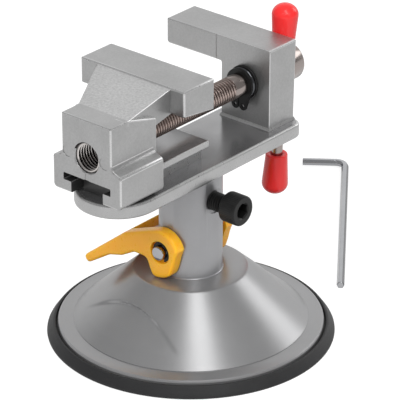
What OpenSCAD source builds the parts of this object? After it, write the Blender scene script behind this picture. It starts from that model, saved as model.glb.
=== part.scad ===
// Suction base vise: a small bench vise that swivels on a lever-operated suction base.
// The Z axis is the swivel axis and z = 0 is the surface that the base stands on.
// The screw runs along X with its handle at +X, and the jaws overhang towards +Y.

/* [Suction base] */
// Diameter of the rubber cup at the surface it stands on
cup_d = 121.6; // [110:0.2:140]
// Width of the rubber sealing face
cup_seal_w = 8; // [5:0.5:12]
// Height at which the metal housing stands on the rubber
seat_z = 3; // [2.6:0.1:5]
// Height of the rubber lip round the housing above that seat
cup_lip_h = 1.8; // [1:0.1:2.2]
// Thickness of that lip at its top
cup_lip_w = 0.7; // [0.5:0.1:1.2]
// Width of the groove between that lip and the flange's rim
cup_groove_w = 0.7; // [0.3:0.1:1]
// Thickness of the rubber membrane
membrane_t = 2.4; // [1.6:0.1:2.6]
// Diameter of the housing's flange
flange_d = 112.4; // [106:0.2:118]
// Thickness of the flange at its rim
flange_t = 2.9; // [2.2:0.1:4]
// Height that the flange gains from its rim to the foot of the cone
flange_rise = 1.2; // [0:0.1:2]
// Diameter of the foot of the cone
cone_foot_d = 98; // [90:0.5:102]
// Diameter of the flat top of the housing
hub_d = 47.7; // [44:0.1:54]
// Height of that flat top
hub_z = 29.8; // [29:0.1:36]
// Wall of the housing
housing_wall = 3.4; // [2.8:0.1:4.2]
// Thickness of the housing's roof
hub_t = 7; // [5:0.5:8]
// Distance of the two side scoops from the centre
scoop_x = 31.6; // [28:0.1:36]
// Radius of the scoops' edges seen from above
scoop_r = 200; // [120:10:400]
// Turn of the scoops about the column from the screw's direction in degrees
scoop_turn = -5.9; // [-90:0.1:90]
// Depth of the scoops at their upper edge
scoop_depth = 1.9; // [0.5:0.1:2.2]

/* [Column] */
// Diameter of the column
column_d = 26.6; // [24:0.1:28]
// Height of the column's top
column_top_z = 76.8; // [72:0.1:88]
// Diameter of the column's press-fit foot
column_foot_d = 22; // [20:0.1:23]
// Diameter of the swivel spigot
spigot_d = 16; // [14:0.1:17]
// Length of the spigot in the column
spigot_len = 23; // [20:0.5:23]
// Depth of the retaining groove round the spigot
groove_depth = 2.2; // [1:0.1:3]
// Width of that groove
groove_w = 7; // [6:0.1:8]
// Diameter of the spigot's stub in the vise body
stub_d = 12; // [10:0.1:13]
// Length of that stub
stub_len = 5; // [3:0.1:5]

/* [Clamp screw] */
// Thread diameter of the clamp screw
clamp_d = 8; // [8:0.5:9]
// Depth of the clamp screw's axis below the column's top
clamp_drop = 12.8; // [10.8:0.1:14.8]
// Length of the clamp screw under its head
clamp_len = 14; // [12:0.5:20]
// Diameter of its head
clamp_head_d = 13; // [12:0.5:14]
// Height of its head
clamp_head_h = 8; // [6:0.5:9]
// Size of its hexagon socket across the flats
hex_af = 6; // [5:0.5:7]
// Depth of the socket
hex_depth = 4.5; // [3:0.5:6]
// Diameter of the point that enters the spigot's groove
dog_d = 5.5; // [4:0.1:5.5]
// Length of that point
dog_len = 2.4; // [2:0.1:3]

/* [Suction lever] */
// Greatest distance from the lever's pin to the foot that stands on the housing
cam_high = 12.2; // [11.6:0.1:14]
// Lift of the pull rod over the lever's throw
lift = 2; // [1:0.1:3]
// Throw of the lever in degrees
throw = 45; // [35:1:45]
// Width of the lever over its two arms
lever_w = 37; // [36.8:0.1:44]
// Offset of the lever's pin from the column's axis
pin_y = 1.3; // [0:0.1:1.6]
// Thickness of each arm
arm_t = 4.9; // [4:0.1:4.9]
// Radius of each arm's round end about the pin
eye_r = 9.9; // [9:0.1:10.2]
// Distance from the pin to the tip of the handle
handle_reach = 43; // [40:0.5:46]
// Drop of the tip below the pin
handle_drop = 15.5; // [12:0.5:17]
// Thickness of the handle plate
handle_t = 3.8; // [3:0.1:5]
// Distance from the pin to the near edge of the handle plate
handle_start = 19.7; // [19.6:0.1:24]
// Diameter of the lever's pin
pin_d = 6; // [5:0.1:6.4]
// Distance that the pin's ends stand out of the arms
pin_proud = 1.3; // [1:0.1:2]
// Diameter of the counterbores round the pin's ends
pin_recess_d = 10; // [9.6:0.1:12]
// Depth of those counterbores
pin_recess_depth = 2; // [1.6:0.1:2.4]
// Outer diameter of the pin's clips
pin_clip_d = 9; // [8.6:0.1:9.2]
// Thickness of the pin's clips
pin_clip_t = 0.7; // [0.5:0.1:0.9]

/* [Pull rod and cup plate] */
// Diameter of the pull rod
rod_d = 12; // [11:0.1:12.6]
// Height that the rod reaches above its pin
rod_above_pin = 7; // [6:0.5:7.5]
// Diameter of the rod's threaded foot
rod_thread_d = 8; // [6:0.5:9]
// Diameter of the steel plate on the membrane
plate_d = 40; // [30:1:44]
// Thickness of that plate
plate_t = 3; // [2:0.1:3.4]
// Height of the membrane's top at its raised centre
crown_z = 9; // [8.4:0.1:10]
// Size of the lock nut across its flats
nut_af = 13; // [12:0.5:14]
// Height of the lock nut
nut_h = 5; // [4:0.1:6]
// Mean diameter of the return spring
spring_d = 20; // [19:0.1:22]
// Wire diameter of the return spring
spring_wire = 1.6; // [1.2:0.1:1.8]
// Turns of the return spring
spring_turns = 3.5; // [3:0.5:4]

/* [Vise body] */
// Width of the base plate
body_w = 36; // [35:0.5:44]
// Distance from the swivel axis to the plate's round end
body_front = 62.4; // [60:0.1:70]
// Distance from the swivel axis to the fixed jaw's back
body_back = 52.4; // [50:0.1:58]
// Thickness of the plate
body_t = 6.2; // [5:0.1:8]
// Width of the rail's flange
rail_w = 24.8; // [22:0.1:26]
// Thickness of the rail's flange
rail_flange_t = 2.9; // [2:0.1:3.5]
// Width of the rail's web
rail_web_w = 16.6; // [14:0.1:18]
// Height of the rail
rail_h = 9.3; // [8:0.1:10]
// Place of the rail's front end along the screw
rail_front_x = -56; // [-58:0.5:-50]
// Place of the rail's back end along the screw
rail_back_x = -3; // [-6:0.5:4]

/* [Jaws] */
// Length of the jaws
jaw_w = 56; // [50:0.5:64]
// Width of the fixed jaw's post, with the screw in its middle
post_w = 26; // [24:0.5:28]
// Height of the jaws' top above the plate
jaw_h = 36.1; // [34:0.1:40]
// Thickness of the fixed jaw
fixed_jaw_t = 17.6; // [16:0.1:20]
// Thickness of the movable jaw
moving_jaw_t = 18.8; // [16:0.1:20]
// Height of the fixed jaw's overhanging arm
arm_h = 11.4; // [9:0.1:11.4]
// Extra depth of the movable jaw at its clamping face
jaw_lip_h = 2.4; // [0:0.1:3]
// Radius in the corner between arm and post
arm_fillet = 2.5; // [1:0.5:4]
// Depth of the step in the fixed jaw's face beside its arm
face_step = 0.2; // [0.1:0.1:0.4]
// Distance of that step from the post's far side
face_step_y = 2.9; // [2.6:0.1:6]
// Opening of the jaws as shown
opening = 35.1; // [30:0.1:37]
// Opening that is left when the jaws are closed
closed_gap = 0.2; // [0.1:0.1:1]

/* [Nut block] */
// Length of the movable jaw over all
slider_len = 62.8; // [60:0.1:66]
// Length of the nut block
nut_block_len = 27.2; // [24:0.1:30]
// Width of the nut block
nut_block_w = 26.2; // [24:0.1:28]
// Depth of the flat strip at the nut block's front
nut_strip = 10.4; // [8:0.1:14]
// Fall of the nut block's top behind that strip
nut_fall = 4.5; // [0:0.1:6]
// Depth of the web's top below the jaw's top
web_step = 0.5; // [0.2:0.1:1]
// Width of the skirt that embraces the rail
skirt_w = 36.2; // [34:0.1:38]
// Height of the skirt's shoulder above its bottom
skirt_h = 14.3; // [12:0.1:15]
// Height of the slope between skirt and nut block
skirt_slope_h = 4; // [2:0.1:5]
// Gap between the skirt and the plate
skirt_gap = 1.4; // [0.5:0.1:2]
// Place of the web's end on the jaw's far side
web_far_y = 34.6; // [30:0.1:36]
// Place of the web's end on the jaw's near side
web_near_y = -5.5; // [-9:0.1:-4]

/* [Lead screw and handle] */
// Thread diameter of the lead screw
screw_d = 10; // [9:0.1:10.4]
// Pitch of the lead screw's thread
screw_pitch = 1.5; // [1:0.05:2]
// Height of the screw's axis above the plate
screw_h = 19.1; // [18.5:0.1:20]
// Place of the screw's tip along its axis
screw_tip_x = -48; // [-50:0.5:-44]
// Diameter of the screw's head
head_d = 16.6; // [14:0.1:18]
// Length of the screw's head
head_len = 11.4; // [10:0.1:13]
// Diameter of the tommy bar
bar_d = 5; // [4:0.1:6]
// Length of the tommy bar over its caps
bar_len = 89.3; // [84:0.1:100]
// Tilt of the tommy bar at rest in degrees
bar_tilt = 3.2; // [0:0.1:8]
// Length of each cap
cap_len = 19; // [15:0.5:20]
// Diameter of each cap at its widest
cap_d = 11.4; // [9:0.1:11.4]
// Diameter of each cap at its inner end
cap_neck_d = 9.5; // [8:0.1:10.5]
// Thickness of the plain washers
washer_t = 1.1; // [0.6:0.1:1.2]
// Diameter of the plain washers
washer_d = 14.6; // [14:0.1:17]
// Thickness of the dished washer
dished_t = 1.7; // [1.2:0.1:2]
// Thickness of the circlip
circlip_t = 1; // [0.8:0.1:1.2]
// Diameter of the circlip
circlip_d = 13.8; // [13:0.1:14.4]
// Distance that the circlip's lugs reach from the screw's axis
lug_reach = 12.2; // [10:0.1:12.4]
// Radius of each lug
lug_r = 1.9; // [1.6:0.1:2.2]

/* [Hex key] */
// Size of the loose key across its flats
key_af = 3; // [2:0.5:6]
// Length of the key's long arm
key_long = 123; // [60:1:130]
// Length of the key's short arm
key_short = 20; // [16:1:40]
// Radius of the key's bend at its middle
key_bend_r = 4.5; // [3.5:0.5:8]
// Place of the key's corner along X
key_x = 167; // [140:1:200]
// Place of the key's corner along Y
key_y = 47.6; // [20:0.2:80]
// Direction of the key's long arm in degrees
key_angle = 217; // [200:1:230]

/* [Clearances] */
// Radial clearance of running and sliding fits
run_gap = 0.06; // [0.03:0.01:0.1]
// Radial clearance of pressed and screwed fits
press_gap = 0.02; // [0.01:0.01:0.03]
// Clearance between flat faces that slide
slide_gap = 0.15; // [0.1:0.01:0.3]
// Clearance between parts that pass each other
free_gap = 0.3; // [0.25:0.01:0.4]

/* [Hidden] */
$fn = 96;
eps = 0.01;

body_z = column_top_z + 0.1;
body_top_z = body_z + body_t;
rail_top_z = body_top_z + rail_h;
screw_z = body_top_z + screw_h;
jaw_top_z = body_top_z + jaw_h;
jaw_near_y = -post_w / 2;
jaw_far_y = jaw_near_y + jaw_w;
fixed_face_x = body_back - fixed_jaw_t;
moving_face_x = fixed_face_x - opening;
moving_front_x = moving_face_x - slider_len;
bar_x0 = moving_face_x - moving_jaw_t;
block_back_x = moving_front_x + nut_block_len;
strip_back_x = moving_front_x + nut_strip;
block_top_z = jaw_top_z - web_step;
skirt_z = body_top_z + skirt_gap;

clamp_z = column_top_z - clamp_drop;
pin_z = hub_z + free_gap + cam_high;
cam_low = cam_high - lift;
cam_slope = lift / (throw * PI / 180);
near_x = -lever_w / 2;
far_x = lever_w / 2;
roof_z = hub_z - hub_t;
rod_bore_top = pin_z + rod_above_pin + 2.5;
spigot_z = column_top_z - spigot_len;
plate_z = crown_z;
nut_z = plate_z + plate_t;
cone_slope = (cone_foot_d - hub_d) / 2 / (hub_z - seat_z - flange_t - flange_rise);

washer_x = fixed_face_x - 0.1 - washer_t;
dished_x = washer_x - dished_t;
circlip_x = dished_x - 0.1 - circlip_t;
head_x = body_back + 0.1 + washer_t;
recess_x = moving_face_x - (fixed_face_x - closed_gap - circlip_x + free_gap);
bar_hole_x = head_x + head_len / 2;

steel = [0.72, 0.72, 0.74];
casting = [0.62, 0.63, 0.64];
black = [0.1, 0.1, 0.1];
rubber = [0.13, 0.13, 0.14];
amber = [0.96, 0.62, 0.13];
red = [0.85, 0.1, 0.08];

// Ring or disc along Z
module ring(r_out, r_in, z0, z1) {
    translate([0, 0, z0])
        difference() {
            cylinder(r = r_out, h = z1 - z0);
            if (r_in > 0) translate([0, 0, -1]) cylinder(r = r_in, h = z1 - z0 + 2);
        }
}

// Cylinder along X at the screw's height
module on_screw(r, x0, x1) {
    translate([x0, 0, screw_z]) rotate([0, 90, 0]) cylinder(r = r, h = x1 - x0);
}

// Cylinder along X through the lever's pin
module on_pin(r, x0, x1) {
    translate([x0, pin_y, pin_z]) rotate([0, 90, 0]) cylinder(r = r, h = x1 - x0, $fn = 64);
}

// Box between two corners
module block(a, b) {
    translate(a) cube(b - a);
}

// Profile drawn in (Y, Z) and extruded along X
module along_x(x0, x1) {
    translate([x0, 0, 0]) rotate([90, 0, 90]) linear_extrude(x1 - x0) children();
}

// Points of a round corner at b between the lines to a and c
function unit(v) = v / norm(v);
function round_corner(a, b, c, r, n = 6) =
    let (u = unit(a - b), v = unit(c - b), half = acos(u * v) / 2, w = unit(u + v),
         m = b + w * r / sin(half), s = b + u * r / tan(half), e = b + v * r / tan(half),
         a0 = atan2(s.y - m.y, s.x - m.x), turn = atan2(e.y - m.y, e.x - m.x) - a0,
         sweep = turn > 180 ? turn - 360 : turn < -180 ? turn + 360 : turn)
    [for (i = [0:n]) m + r * [cos(a0 + sweep * i / n), sin(a0 + sweep * i / n)]];

// Outline with every corner rounded by its own radius, given as [x, y, r]
function rounded(p) = let (k = len(p))
    [for (i = [0:k - 1])
        let (a = p[(i + k - 1) % k], b = p[i], c = p[(i + 1) % k])
        each (b.z > 0 ? round_corner([a.x, a.y], [b.x, b.y], [c.x, c.y], b.z) : [[b.x, b.y]])];

// Cone's outer radius at a height
function cone_r(z) = hub_d / 2 + (hub_z - z) * cone_slope;

// Cast housing: flange, cone with two side scoops, and flat top with the column's hole
module base_housing() {
    foot_r = cone_foot_d / 2;
    foot_z = seat_z + flange_t + flange_rise;
    rim_r = flange_d / 2;
    rim_z = seat_z + flange_t;
    drop = housing_wall * sqrt(1 + cone_slope * cone_slope) / cone_slope;
    inner_r = function (z) cone_r(z + drop);
    color(casting)
        difference() {
            rotate_extrude($fn = 180)
                polygon([
                    [column_foot_d / 2 + press_gap, roof_z], [inner_r(roof_z), roof_z],
                    [inner_r(seat_z + 1.2), seat_z + 1.2], [rim_r - 3.6, seat_z + 0.6],
                    [rim_r - 3.6, seat_z], [rim_r, seat_z], [rim_r, rim_z - 1],
                    [rim_r - 0.4, rim_z - 0.3], [rim_r - 1.2, rim_z], [foot_r + 1, foot_z - 0.1],
                    [foot_r - 0.4, foot_z + 0.4], [hub_d / 2 + 0.4, hub_z - 0.4],
                    [hub_d / 2 - 0.4, hub_z], [column_foot_d / 2 + press_gap, hub_z]
                ]);
            for (side = [0, 180]) rotate([0, 0, side + scoop_turn]) side_scoop();
        }
}

// Shallow scoop in the cone, bounded by an upright curved edge
module side_scoop() {
    z0 = seat_z + flange_t + flange_rise + 0.6;
    z1 = hub_z - 2;
    steps = 6;
    depth = function (t) (scoop_depth + 0.3) * pow(t, 1.2) - 0.3;
    intersection() {
        rotate_extrude($fn = 180)
            polygon(concat(
                [for (i = [0:steps]) let (t = i / steps, z = z0 + t * (z1 - z0)) [cone_r(z) - depth(t), z]],
                [[cone_r(z1) + 2, z1], [cone_r(z0) + 2, z0]]
            ));
        translate([scoop_x + scoop_r, 0, 0]) cylinder(r = scoop_r, h = hub_z, $fn = 360);
    }
}

// Column pressed into the housing: bores for pull rod and spigot, slots for the lever's pin
module column() {
    slot_w = pin_d + 2 * slide_gap;
    color(casting)
        difference() {
            union() {
                ring(column_foot_d / 2, 0, roof_z, hub_z);
                ring(column_d / 2, 0, hub_z, column_top_z);
            }
            ring(rod_d / 2 + run_gap, 0, roof_z - 1, rod_bore_top);
            ring(spigot_d / 2 + run_gap, 0, rod_bore_top - eps, column_top_z + 1);
            along_x(-column_d, column_d) translate([pin_y, pin_z - lift])
                union() {
                    circle(d = slot_w, $fn = 64);
                    translate([0, lift]) circle(d = slot_w, $fn = 64);
                    translate([-slot_w / 2, 0]) square([slot_w, lift]);
                }
            translate([0, 0, clamp_z]) rotate([90, 0, 0]) cylinder(d = clamp_d + 2 * run_gap, h = column_d);
            translate([0, 1.2 - column_d / 2, clamp_z]) rotate([90, 0, 0]) cylinder(d = clamp_d + 3, h = 5);
        }
}

// Rubber rim of the suction cup, with the lip that holds the housing
module suction_cup() {
    r = cup_d / 2;
    inner_r = flange_d / 2 - 6.2;
    lip_r = flange_d / 2 + cup_groove_w;
    lip_out_r = lip_r + cup_lip_w;
    lip_z = seat_z + cup_lip_h;
    color(rubber)
        rotate_extrude($fn = 180)
            polygon([
                [inner_r, 0.6], [r - 0.4 - cup_seal_w, 0], [r - 0.4, 0], [r, 0.5], [r - 0.3, 1.4],
                [lip_out_r + 1.7, seat_z], [lip_out_r + 0.6, lip_z - 0.4], [lip_out_r, lip_z],
                [lip_r, lip_z], [lip_r, seat_z], [inner_r, seat_z]
            ]);
}

// Membrane of the suction cup, drawn up at its centre; it flattens as the pull rod sinks
module cup_membrane() {
    r = flange_d / 2 - 6.2 - press_gap;
    low_z = 0.6;
    color(rubber)
        rotate_extrude($fn = 120)
            polygon([
                [0, crown_z - membrane_t], [plate_d / 2 - 2, crown_z - membrane_t],
                [r - 5, low_z + 0.3], [r, low_z], [r, low_z + membrane_t],
                [r - 4, low_z + membrane_t + 0.4], [plate_d / 2 + 0.5, crown_z], [0, crown_z]
            ]);
}

// Steel plate bonded to the membrane, screwed on the pull rod
module cup_plate() {
    color(steel) ring(plate_d / 2, rod_thread_d / 2 + press_gap, plate_z, plate_z + plate_t);
}

// Hexagon nut that locks the plate on the pull rod
module lock_nut() {
    color(steel)
        difference() {
            translate([0, 0, nut_z]) cylinder(r = nut_af / sqrt(3), h = nut_h, $fn = 6);
            translate([0, 0, nut_z - 1]) cylinder(d = rod_thread_d + 2 * press_gap, h = nut_h + 2);
        }
}

// Pull rod with its threaded foot and the cross hole for the lever's pin
module pull_rod() {
    color(steel)
        difference() {
            union() {
                ring(rod_thread_d / 2, 0, plate_z + 0.2, nut_z + nut_h);
                ring(rod_d / 2, 0, nut_z + nut_h, pin_z + rod_above_pin);
            }
            on_pin(pin_d / 2 + press_gap, -rod_d, rod_d);
        }
}

// Return spring between the roof of the housing and the cup plate
spring_z0 = nut_z;
spring_len = roof_z - nut_z;
spring_r = spring_d / 2;
spring_steps = 16;
spring_sides = 6;
spring_n = round(spring_turns * spring_steps);
spring_rise = spring_len - spring_wire - 0.1;
function spring_at(i) = let (t = i / spring_n, a = 360 * spring_turns * t)
    [spring_r * cos(a), spring_r * sin(a), spring_z0 + 0.05 + spring_wire / 2 + spring_rise * t];
function spring_ring(i) = let (p = spring_at(i), a = 360 * spring_turns * i / spring_n)
    [for (k = [0:spring_sides - 1]) let (b = 360 * k / spring_sides)
        p + spring_wire / 2 * [cos(b) * cos(a), cos(b) * sin(a), sin(b)]];
module return_spring() {
    pts = [for (i = [0:spring_n]) each spring_ring(i)];
    wall = [for (i = [0:spring_n - 1], k = [0:spring_sides - 1])
        let (k2 = (k + 1) % spring_sides, p = i * spring_sides, q = p + spring_sides)
        each [[p + k, q + k, p + k2], [p + k2, q + k, q + k2]]];
    last = spring_n * spring_sides;
    ends = [for (k = [1:spring_sides - 2]) each [[0, k, k + 1], [last, last + k + 1, last + k]]];
    color(steel) polyhedron(points = pts, faces = concat(wall, ends));
}
echo(spring_least_gap = spring_rise / spring_turns - spring_wire);

// Point of the cam where it touches the housing after the lever has turned by a
function cam_point(a) = let (p = cam_high - lift * a / throw)
    [cam_slope * cos(a) - p * sin(a), -p * cos(a) - cam_slope * sin(a)];

// Side outline of an arm about its pin, in (Y, Z)
function arm_outline() = concat(
    [for (i = [0:9]) cam_point(throw * i / 9)],
    [[-6.9, -5], [-7.8, -1.2], [-8.8, 1.4]],
    [for (a = [107:11:184]) -eye_r * [sin(a), cos(a)]],
    rounded([
        [eye_r * 0.28, eye_r * 0.96, 0], [handle_start - 5.2, 5, 8], [handle_start + 0.3, 2.8, 6],
        handle_tip(0, 1.6), handle_tip(handle_t, 1.6), [handle_start + 8.8, -6.8 - handle_t, 6],
        [handle_start + 1.8, -4.8 - handle_t, 6], [handle_start - 5.2, -0.8 - handle_t, 4],
        [7.4, -1 - handle_t, 2.4],
        [5.6, 2.2 - cam_high, 1.2], [4, 0.5 - cam_high, 0.8]
    ])
);

// Corner of the handle's tip, a distance t under its top face
function handle_tip(t, r) =
    let (fall = atan2(handle_drop + 2.8, handle_reach - handle_start - 0.3))
    [handle_reach - t * sin(fall), -handle_drop - t * cos(fall), r];

// Outline of the handle plate between the arms
function plate_outline() = rounded([
    [handle_start, 2.2, 1], handle_tip(0, 1.6), handle_tip(handle_t, 1.6),
    [handle_start + 5, -2.2 - handle_t, 8], [handle_start, 2.2 - handle_t, 1]
]);

// Lever: two arms with cams that stand on the housing, joined by the handle plate
module lever() {
    color(amber)
        difference() {
            union() {
                for (x0 = [near_x, far_x - arm_t])
                    along_x(x0, x0 + arm_t) translate([pin_y, pin_z]) polygon(arm_outline());
                along_x(near_x + eps, far_x - eps) translate([pin_y, pin_z]) polygon(plate_outline());
            }
            on_pin(pin_d / 2 + run_gap, -lever_w, lever_w);
            on_pin(pin_recess_d / 2, -lever_w, near_x + pin_recess_depth);
            on_pin(pin_recess_d / 2, far_x - pin_recess_depth, lever_w);
        }
}

near_clip_x = near_x + pin_recess_depth - 0.1 - pin_clip_t;
far_clip_x = far_x - pin_recess_depth + 0.1;

// Pin through both arms, the column's slots and the pull rod, with a groove near each end
module lever_pin() {
    color(steel)
        difference() {
            on_pin(pin_d / 2, near_x - pin_proud, far_x + pin_proud);
            for (x0 = [near_clip_x - 0.05, far_clip_x - 0.05])
                difference() {
                    on_pin(pin_d, x0, x0 + pin_clip_t + 0.1);
                    on_pin(pin_d / 2 - 0.6, x0 - 1, x0 + pin_clip_t + 1.1);
                }
        }
}

// Open retaining clip in the pin's groove, its mouth pointing down
module pin_clip(x0) {
    color(black)
        difference() {
            on_pin(pin_clip_d / 2, x0, x0 + pin_clip_t);
            on_pin(pin_d / 2 - 0.6 + press_gap, x0 - 1, x0 + pin_clip_t + 1);
            block([x0 - 1, pin_y - 1.6, pin_z - pin_clip_d], [x0 + pin_clip_t + 1, pin_y + 1.6, pin_z]);
        }
}
module near_pin_clip() {
    pin_clip(near_clip_x);
}
module far_pin_clip() {
    pin_clip(far_clip_x);
}

// Socket screw that locks the swivel, drawn slackened as shown
clamp_tip_y = -(spigot_d / 2 - groove_depth + free_gap);
clamp_head_y = clamp_tip_y - clamp_len;
module clamp_screw() {
    color(black)
        translate([0, 0, clamp_z]) rotate([90, 0, 0])
            difference() {
                union() {
                    translate([0, 0, -clamp_tip_y]) cylinder(d = dog_d, h = dog_len + 1);
                    translate([0, 0, dog_len - clamp_tip_y])
                        cylinder(d = clamp_d, h = clamp_len - dog_len + 1);
                    translate([0, 0, -clamp_head_y]) cylinder(d = clamp_head_d, h = clamp_head_h);
                }
                translate([0, 0, clamp_head_h - clamp_head_y - hex_depth])
                    cylinder(r = hex_af / sqrt(3), h = hex_depth + 1, $fn = 6);
            }
}

// Spigot that swivels in the column, with its retaining groove and pressed-in stub
module swivel_spigot() {
    r = spigot_d / 2;
    color(steel)
        rotate_extrude()
            polygon([
                [0, spigot_z], [r - 0.8, spigot_z], [r, spigot_z + 0.8], [r, clamp_z - groove_w / 2],
                [r - groove_depth, clamp_z - groove_w / 2], [r - groove_depth, clamp_z + groove_w / 2],
                [r, clamp_z + groove_w / 2], [r, body_z], [stub_d / 2, body_z],
                [stub_d / 2, body_z + stub_len - 0.6], [stub_d / 2 - 0.6, body_z + stub_len],
                [0, body_z + stub_len]
            ]);
}

// Casting with the base plate, the T-shaped rail and the fixed jaw
module vise_body() {
    r = body_w / 2;
    color(casting)
        difference() {
            union() {
                translate([0, 0, body_z]) linear_extrude(body_t) {
                    translate([r - body_front, 0]) circle(r = r, $fn = 120);
                    polygon(rounded([
                        [r - body_front, -r, 0], [body_back, -r, 3], [body_back, r, 3], [r - body_front, r, 0]
                    ]));
                }
                along_x(rail_front_x, rail_back_x) translate([0, body_top_z])
                    polygon([
                        [-rail_web_w / 2, -eps], [rail_web_w / 2, -eps],
                        [rail_web_w / 2, rail_h - rail_flange_t], [rail_w / 2, rail_h - rail_flange_t],
                        [rail_w / 2, rail_h], [-rail_w / 2, rail_h],
                        [-rail_w / 2, rail_h - rail_flange_t], [-rail_web_w / 2, rail_h - rail_flange_t]
                    ]);
                along_x(fixed_face_x, body_back)
                    polygon(rounded([
                        [jaw_near_y, body_top_z - eps, 0], [jaw_near_y, jaw_top_z, 0.6],
                        [jaw_far_y, jaw_top_z, 0.8], [jaw_far_y, jaw_top_z - arm_h, 1.5],
                        [post_w / 2, jaw_top_z - arm_h, arm_fillet], [post_w / 2, body_top_z - eps, 0]
                    ]));
            }
            on_screw(screw_d / 2 + run_gap, fixed_face_x - 1, body_back + 1);
            block([fixed_face_x - 1, jaw_near_y - 1, body_top_z],
                [fixed_face_x + face_step, post_w / 2 + face_step_y, jaw_top_z + 1]);
            ring(stub_d / 2 + press_gap, 0, body_z - 1, body_z + stub_len + 0.1);
        }
}

// Casting with the nut block, the skirt round the rail, and the movable jaw
module movable_jaw() {
    half = nut_block_w / 2;
    web_z = jaw_top_z - arm_h;
    slot_top = rail_top_z + slide_gap;
    slot_low = rail_top_z - rail_flange_t - slide_gap;
    shoulder_z = skirt_z + skirt_h;
    lip = rail_web_w / 2 + slide_gap;
    wide = rail_w / 2 + slide_gap;
    color(casting)
        difference() {
            union() {
                translate([0, half, 0]) rotate([90, 0, 0]) linear_extrude(nut_block_w)
                    polygon([
                        [moving_front_x, skirt_z + 1], [block_back_x, skirt_z + 1],
                        [block_back_x, block_top_z - nut_fall], [strip_back_x, block_top_z],
                        [moving_front_x, block_top_z]
                    ]);
                along_x(moving_front_x, block_back_x - 1.5)
                    polygon(rounded([
                        [-skirt_w / 2, skirt_z, 2], [skirt_w / 2, skirt_z, 2], [skirt_w / 2, shoulder_z, 1.5],
                        [half - 0.5, shoulder_z + skirt_slope_h, 0],
                        [0.5 - half, shoulder_z + skirt_slope_h, 0],
                        [-skirt_w / 2, shoulder_z, 1.5]
                    ]));
                translate([0, 0, web_z]) linear_extrude(block_top_z - web_z)
                    polygon([
                        [strip_back_x - 2, -half], [strip_back_x, -half], [bar_x0 + 1, web_near_y],
                        [bar_x0 + 1, web_far_y], [strip_back_x, half], [strip_back_x - 2, half]
                    ]);
                translate([0, jaw_far_y, 0]) rotate([90, 0, 0]) linear_extrude(jaw_w)
                    polygon(rounded([
                        [bar_x0, web_z, 0.6], [moving_face_x, web_z - jaw_lip_h, 0],
                        [moving_face_x, jaw_top_z, 0.6], [bar_x0, jaw_top_z, 0.8]
                    ]));
            }
            on_screw(screw_d / 2 + run_gap, moving_front_x - 1, block_back_x + 1);
            on_screw(screw_d / 2 + 1.3, moving_front_x - 1, moving_front_x + 2.2);
            on_screw(screw_d / 2 + 0.8, block_back_x, moving_face_x + 1);
            on_screw(lug_reach + free_gap, recess_x, moving_face_x + 1);
            along_x(moving_front_x - 1, block_back_x + 1)
                polygon([
                    [-lip, skirt_z - 1], [lip, skirt_z - 1], [lip, slot_low], [wide, slot_low],
                    [wide, slot_top], [-wide, slot_top], [-wide, slot_low], [-lip, slot_low]
                ]);
        }
}

// Lead screw: thread, journal with the circlip's groove, and the head with the bar's hole
module lead_screw() {
    r = screw_d / 2;
    color(steel)
        difference() {
            union() {
                on_screw(r, screw_tip_x + 1, head_x + 1);
                on_screw(r - 1, screw_tip_x, screw_tip_x + 2);
                on_screw(head_d / 2, head_x, head_x + head_len - 1);
                on_screw(head_d / 2 - 1, head_x + 1, head_x + head_len);
            }
            difference() {
                on_screw(r + 1, circlip_x - 0.05, circlip_x + circlip_t + 0.05);
                on_screw(r - 0.4, circlip_x - 1, circlip_x + circlip_t + 1);
            }
            translate([bar_hole_x, 0, screw_z]) rotate([bar_tilt, 0, 0])
                cylinder(d = bar_d + 2 * run_gap, h = 2 * head_d, center = true);
        }
}

// Washer on the screw
module screw_washer(x0, t, d) {
    difference() {
        on_screw(d / 2, x0, x0 + t);
        on_screw(screw_d / 2 + press_gap, x0 - 1, x0 + t + 1);
    }
}
module front_washer() {
    color(black) screw_washer(washer_x, washer_t, washer_d);
}
module rear_washer() {
    color(steel) screw_washer(head_x - washer_t, washer_t, washer_d + 1);
}

// Dished spring washer that takes up the screw's end play
module dished_washer() {
    r = screw_d / 2 + press_gap;
    rim_r = washer_d / 2 - 0.5;
    color(black)
        translate([dished_x, 0, screw_z]) rotate([0, 90, 0])
            rotate_extrude()
                polygon([
                    [r, 0], [r + 0.6, 0], [rim_r, dished_t - 0.9], [rim_r, dished_t],
                    [rim_r - 0.8, dished_t], [r, 0.9]
                ]);
}

// Circlip with its two lugs, the gap between them pointing down
module screw_circlip() {
    lug_y = lug_r + 0.2;
    lug_z = screw_z - sqrt((lug_reach - lug_r) ^ 2 - lug_y ^ 2);
    color(black)
        difference() {
            union() {
                on_screw(circlip_d / 2, circlip_x, circlip_x + circlip_t);
                for (y = [-lug_y, lug_y]) {
                    translate([circlip_x, y, lug_z]) rotate([0, 90, 0])
                        cylinder(r = lug_r, h = circlip_t, $fn = 32);
                    block([circlip_x, y - lug_r, lug_z],
                        [circlip_x + circlip_t, y + lug_r, screw_z - screw_d / 2]);
                }
            }
            on_screw(screw_d / 2 - 0.4 + press_gap, circlip_x - 1, circlip_x + circlip_t + 1);
            block([circlip_x - 1, -0.5, screw_z - circlip_d], [circlip_x + circlip_t + 1, 0.5, screw_z]);
            for (y = [-lug_y, lug_y])
                translate([circlip_x - 1, y, lug_z]) rotate([0, 90, 0])
                    cylinder(r = 0.8, h = circlip_t + 2, $fn = 32);
        }
}

// Height of the bar's upper end above the screw's axis, with the upper cap resting on the head
bar_up = head_d / 2 + free_gap + cap_len;
bar_down = bar_len - bar_up;
module on_bar() {
    translate([bar_hole_x, 0, screw_z]) rotate([bar_tilt, 0, 0]) children();
}

// Tommy bar through the screw's head
module tommy_bar() {
    color(steel) on_bar() translate([0, 0, 3 - bar_down]) cylinder(d = bar_d, h = bar_len - 6);
}

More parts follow.
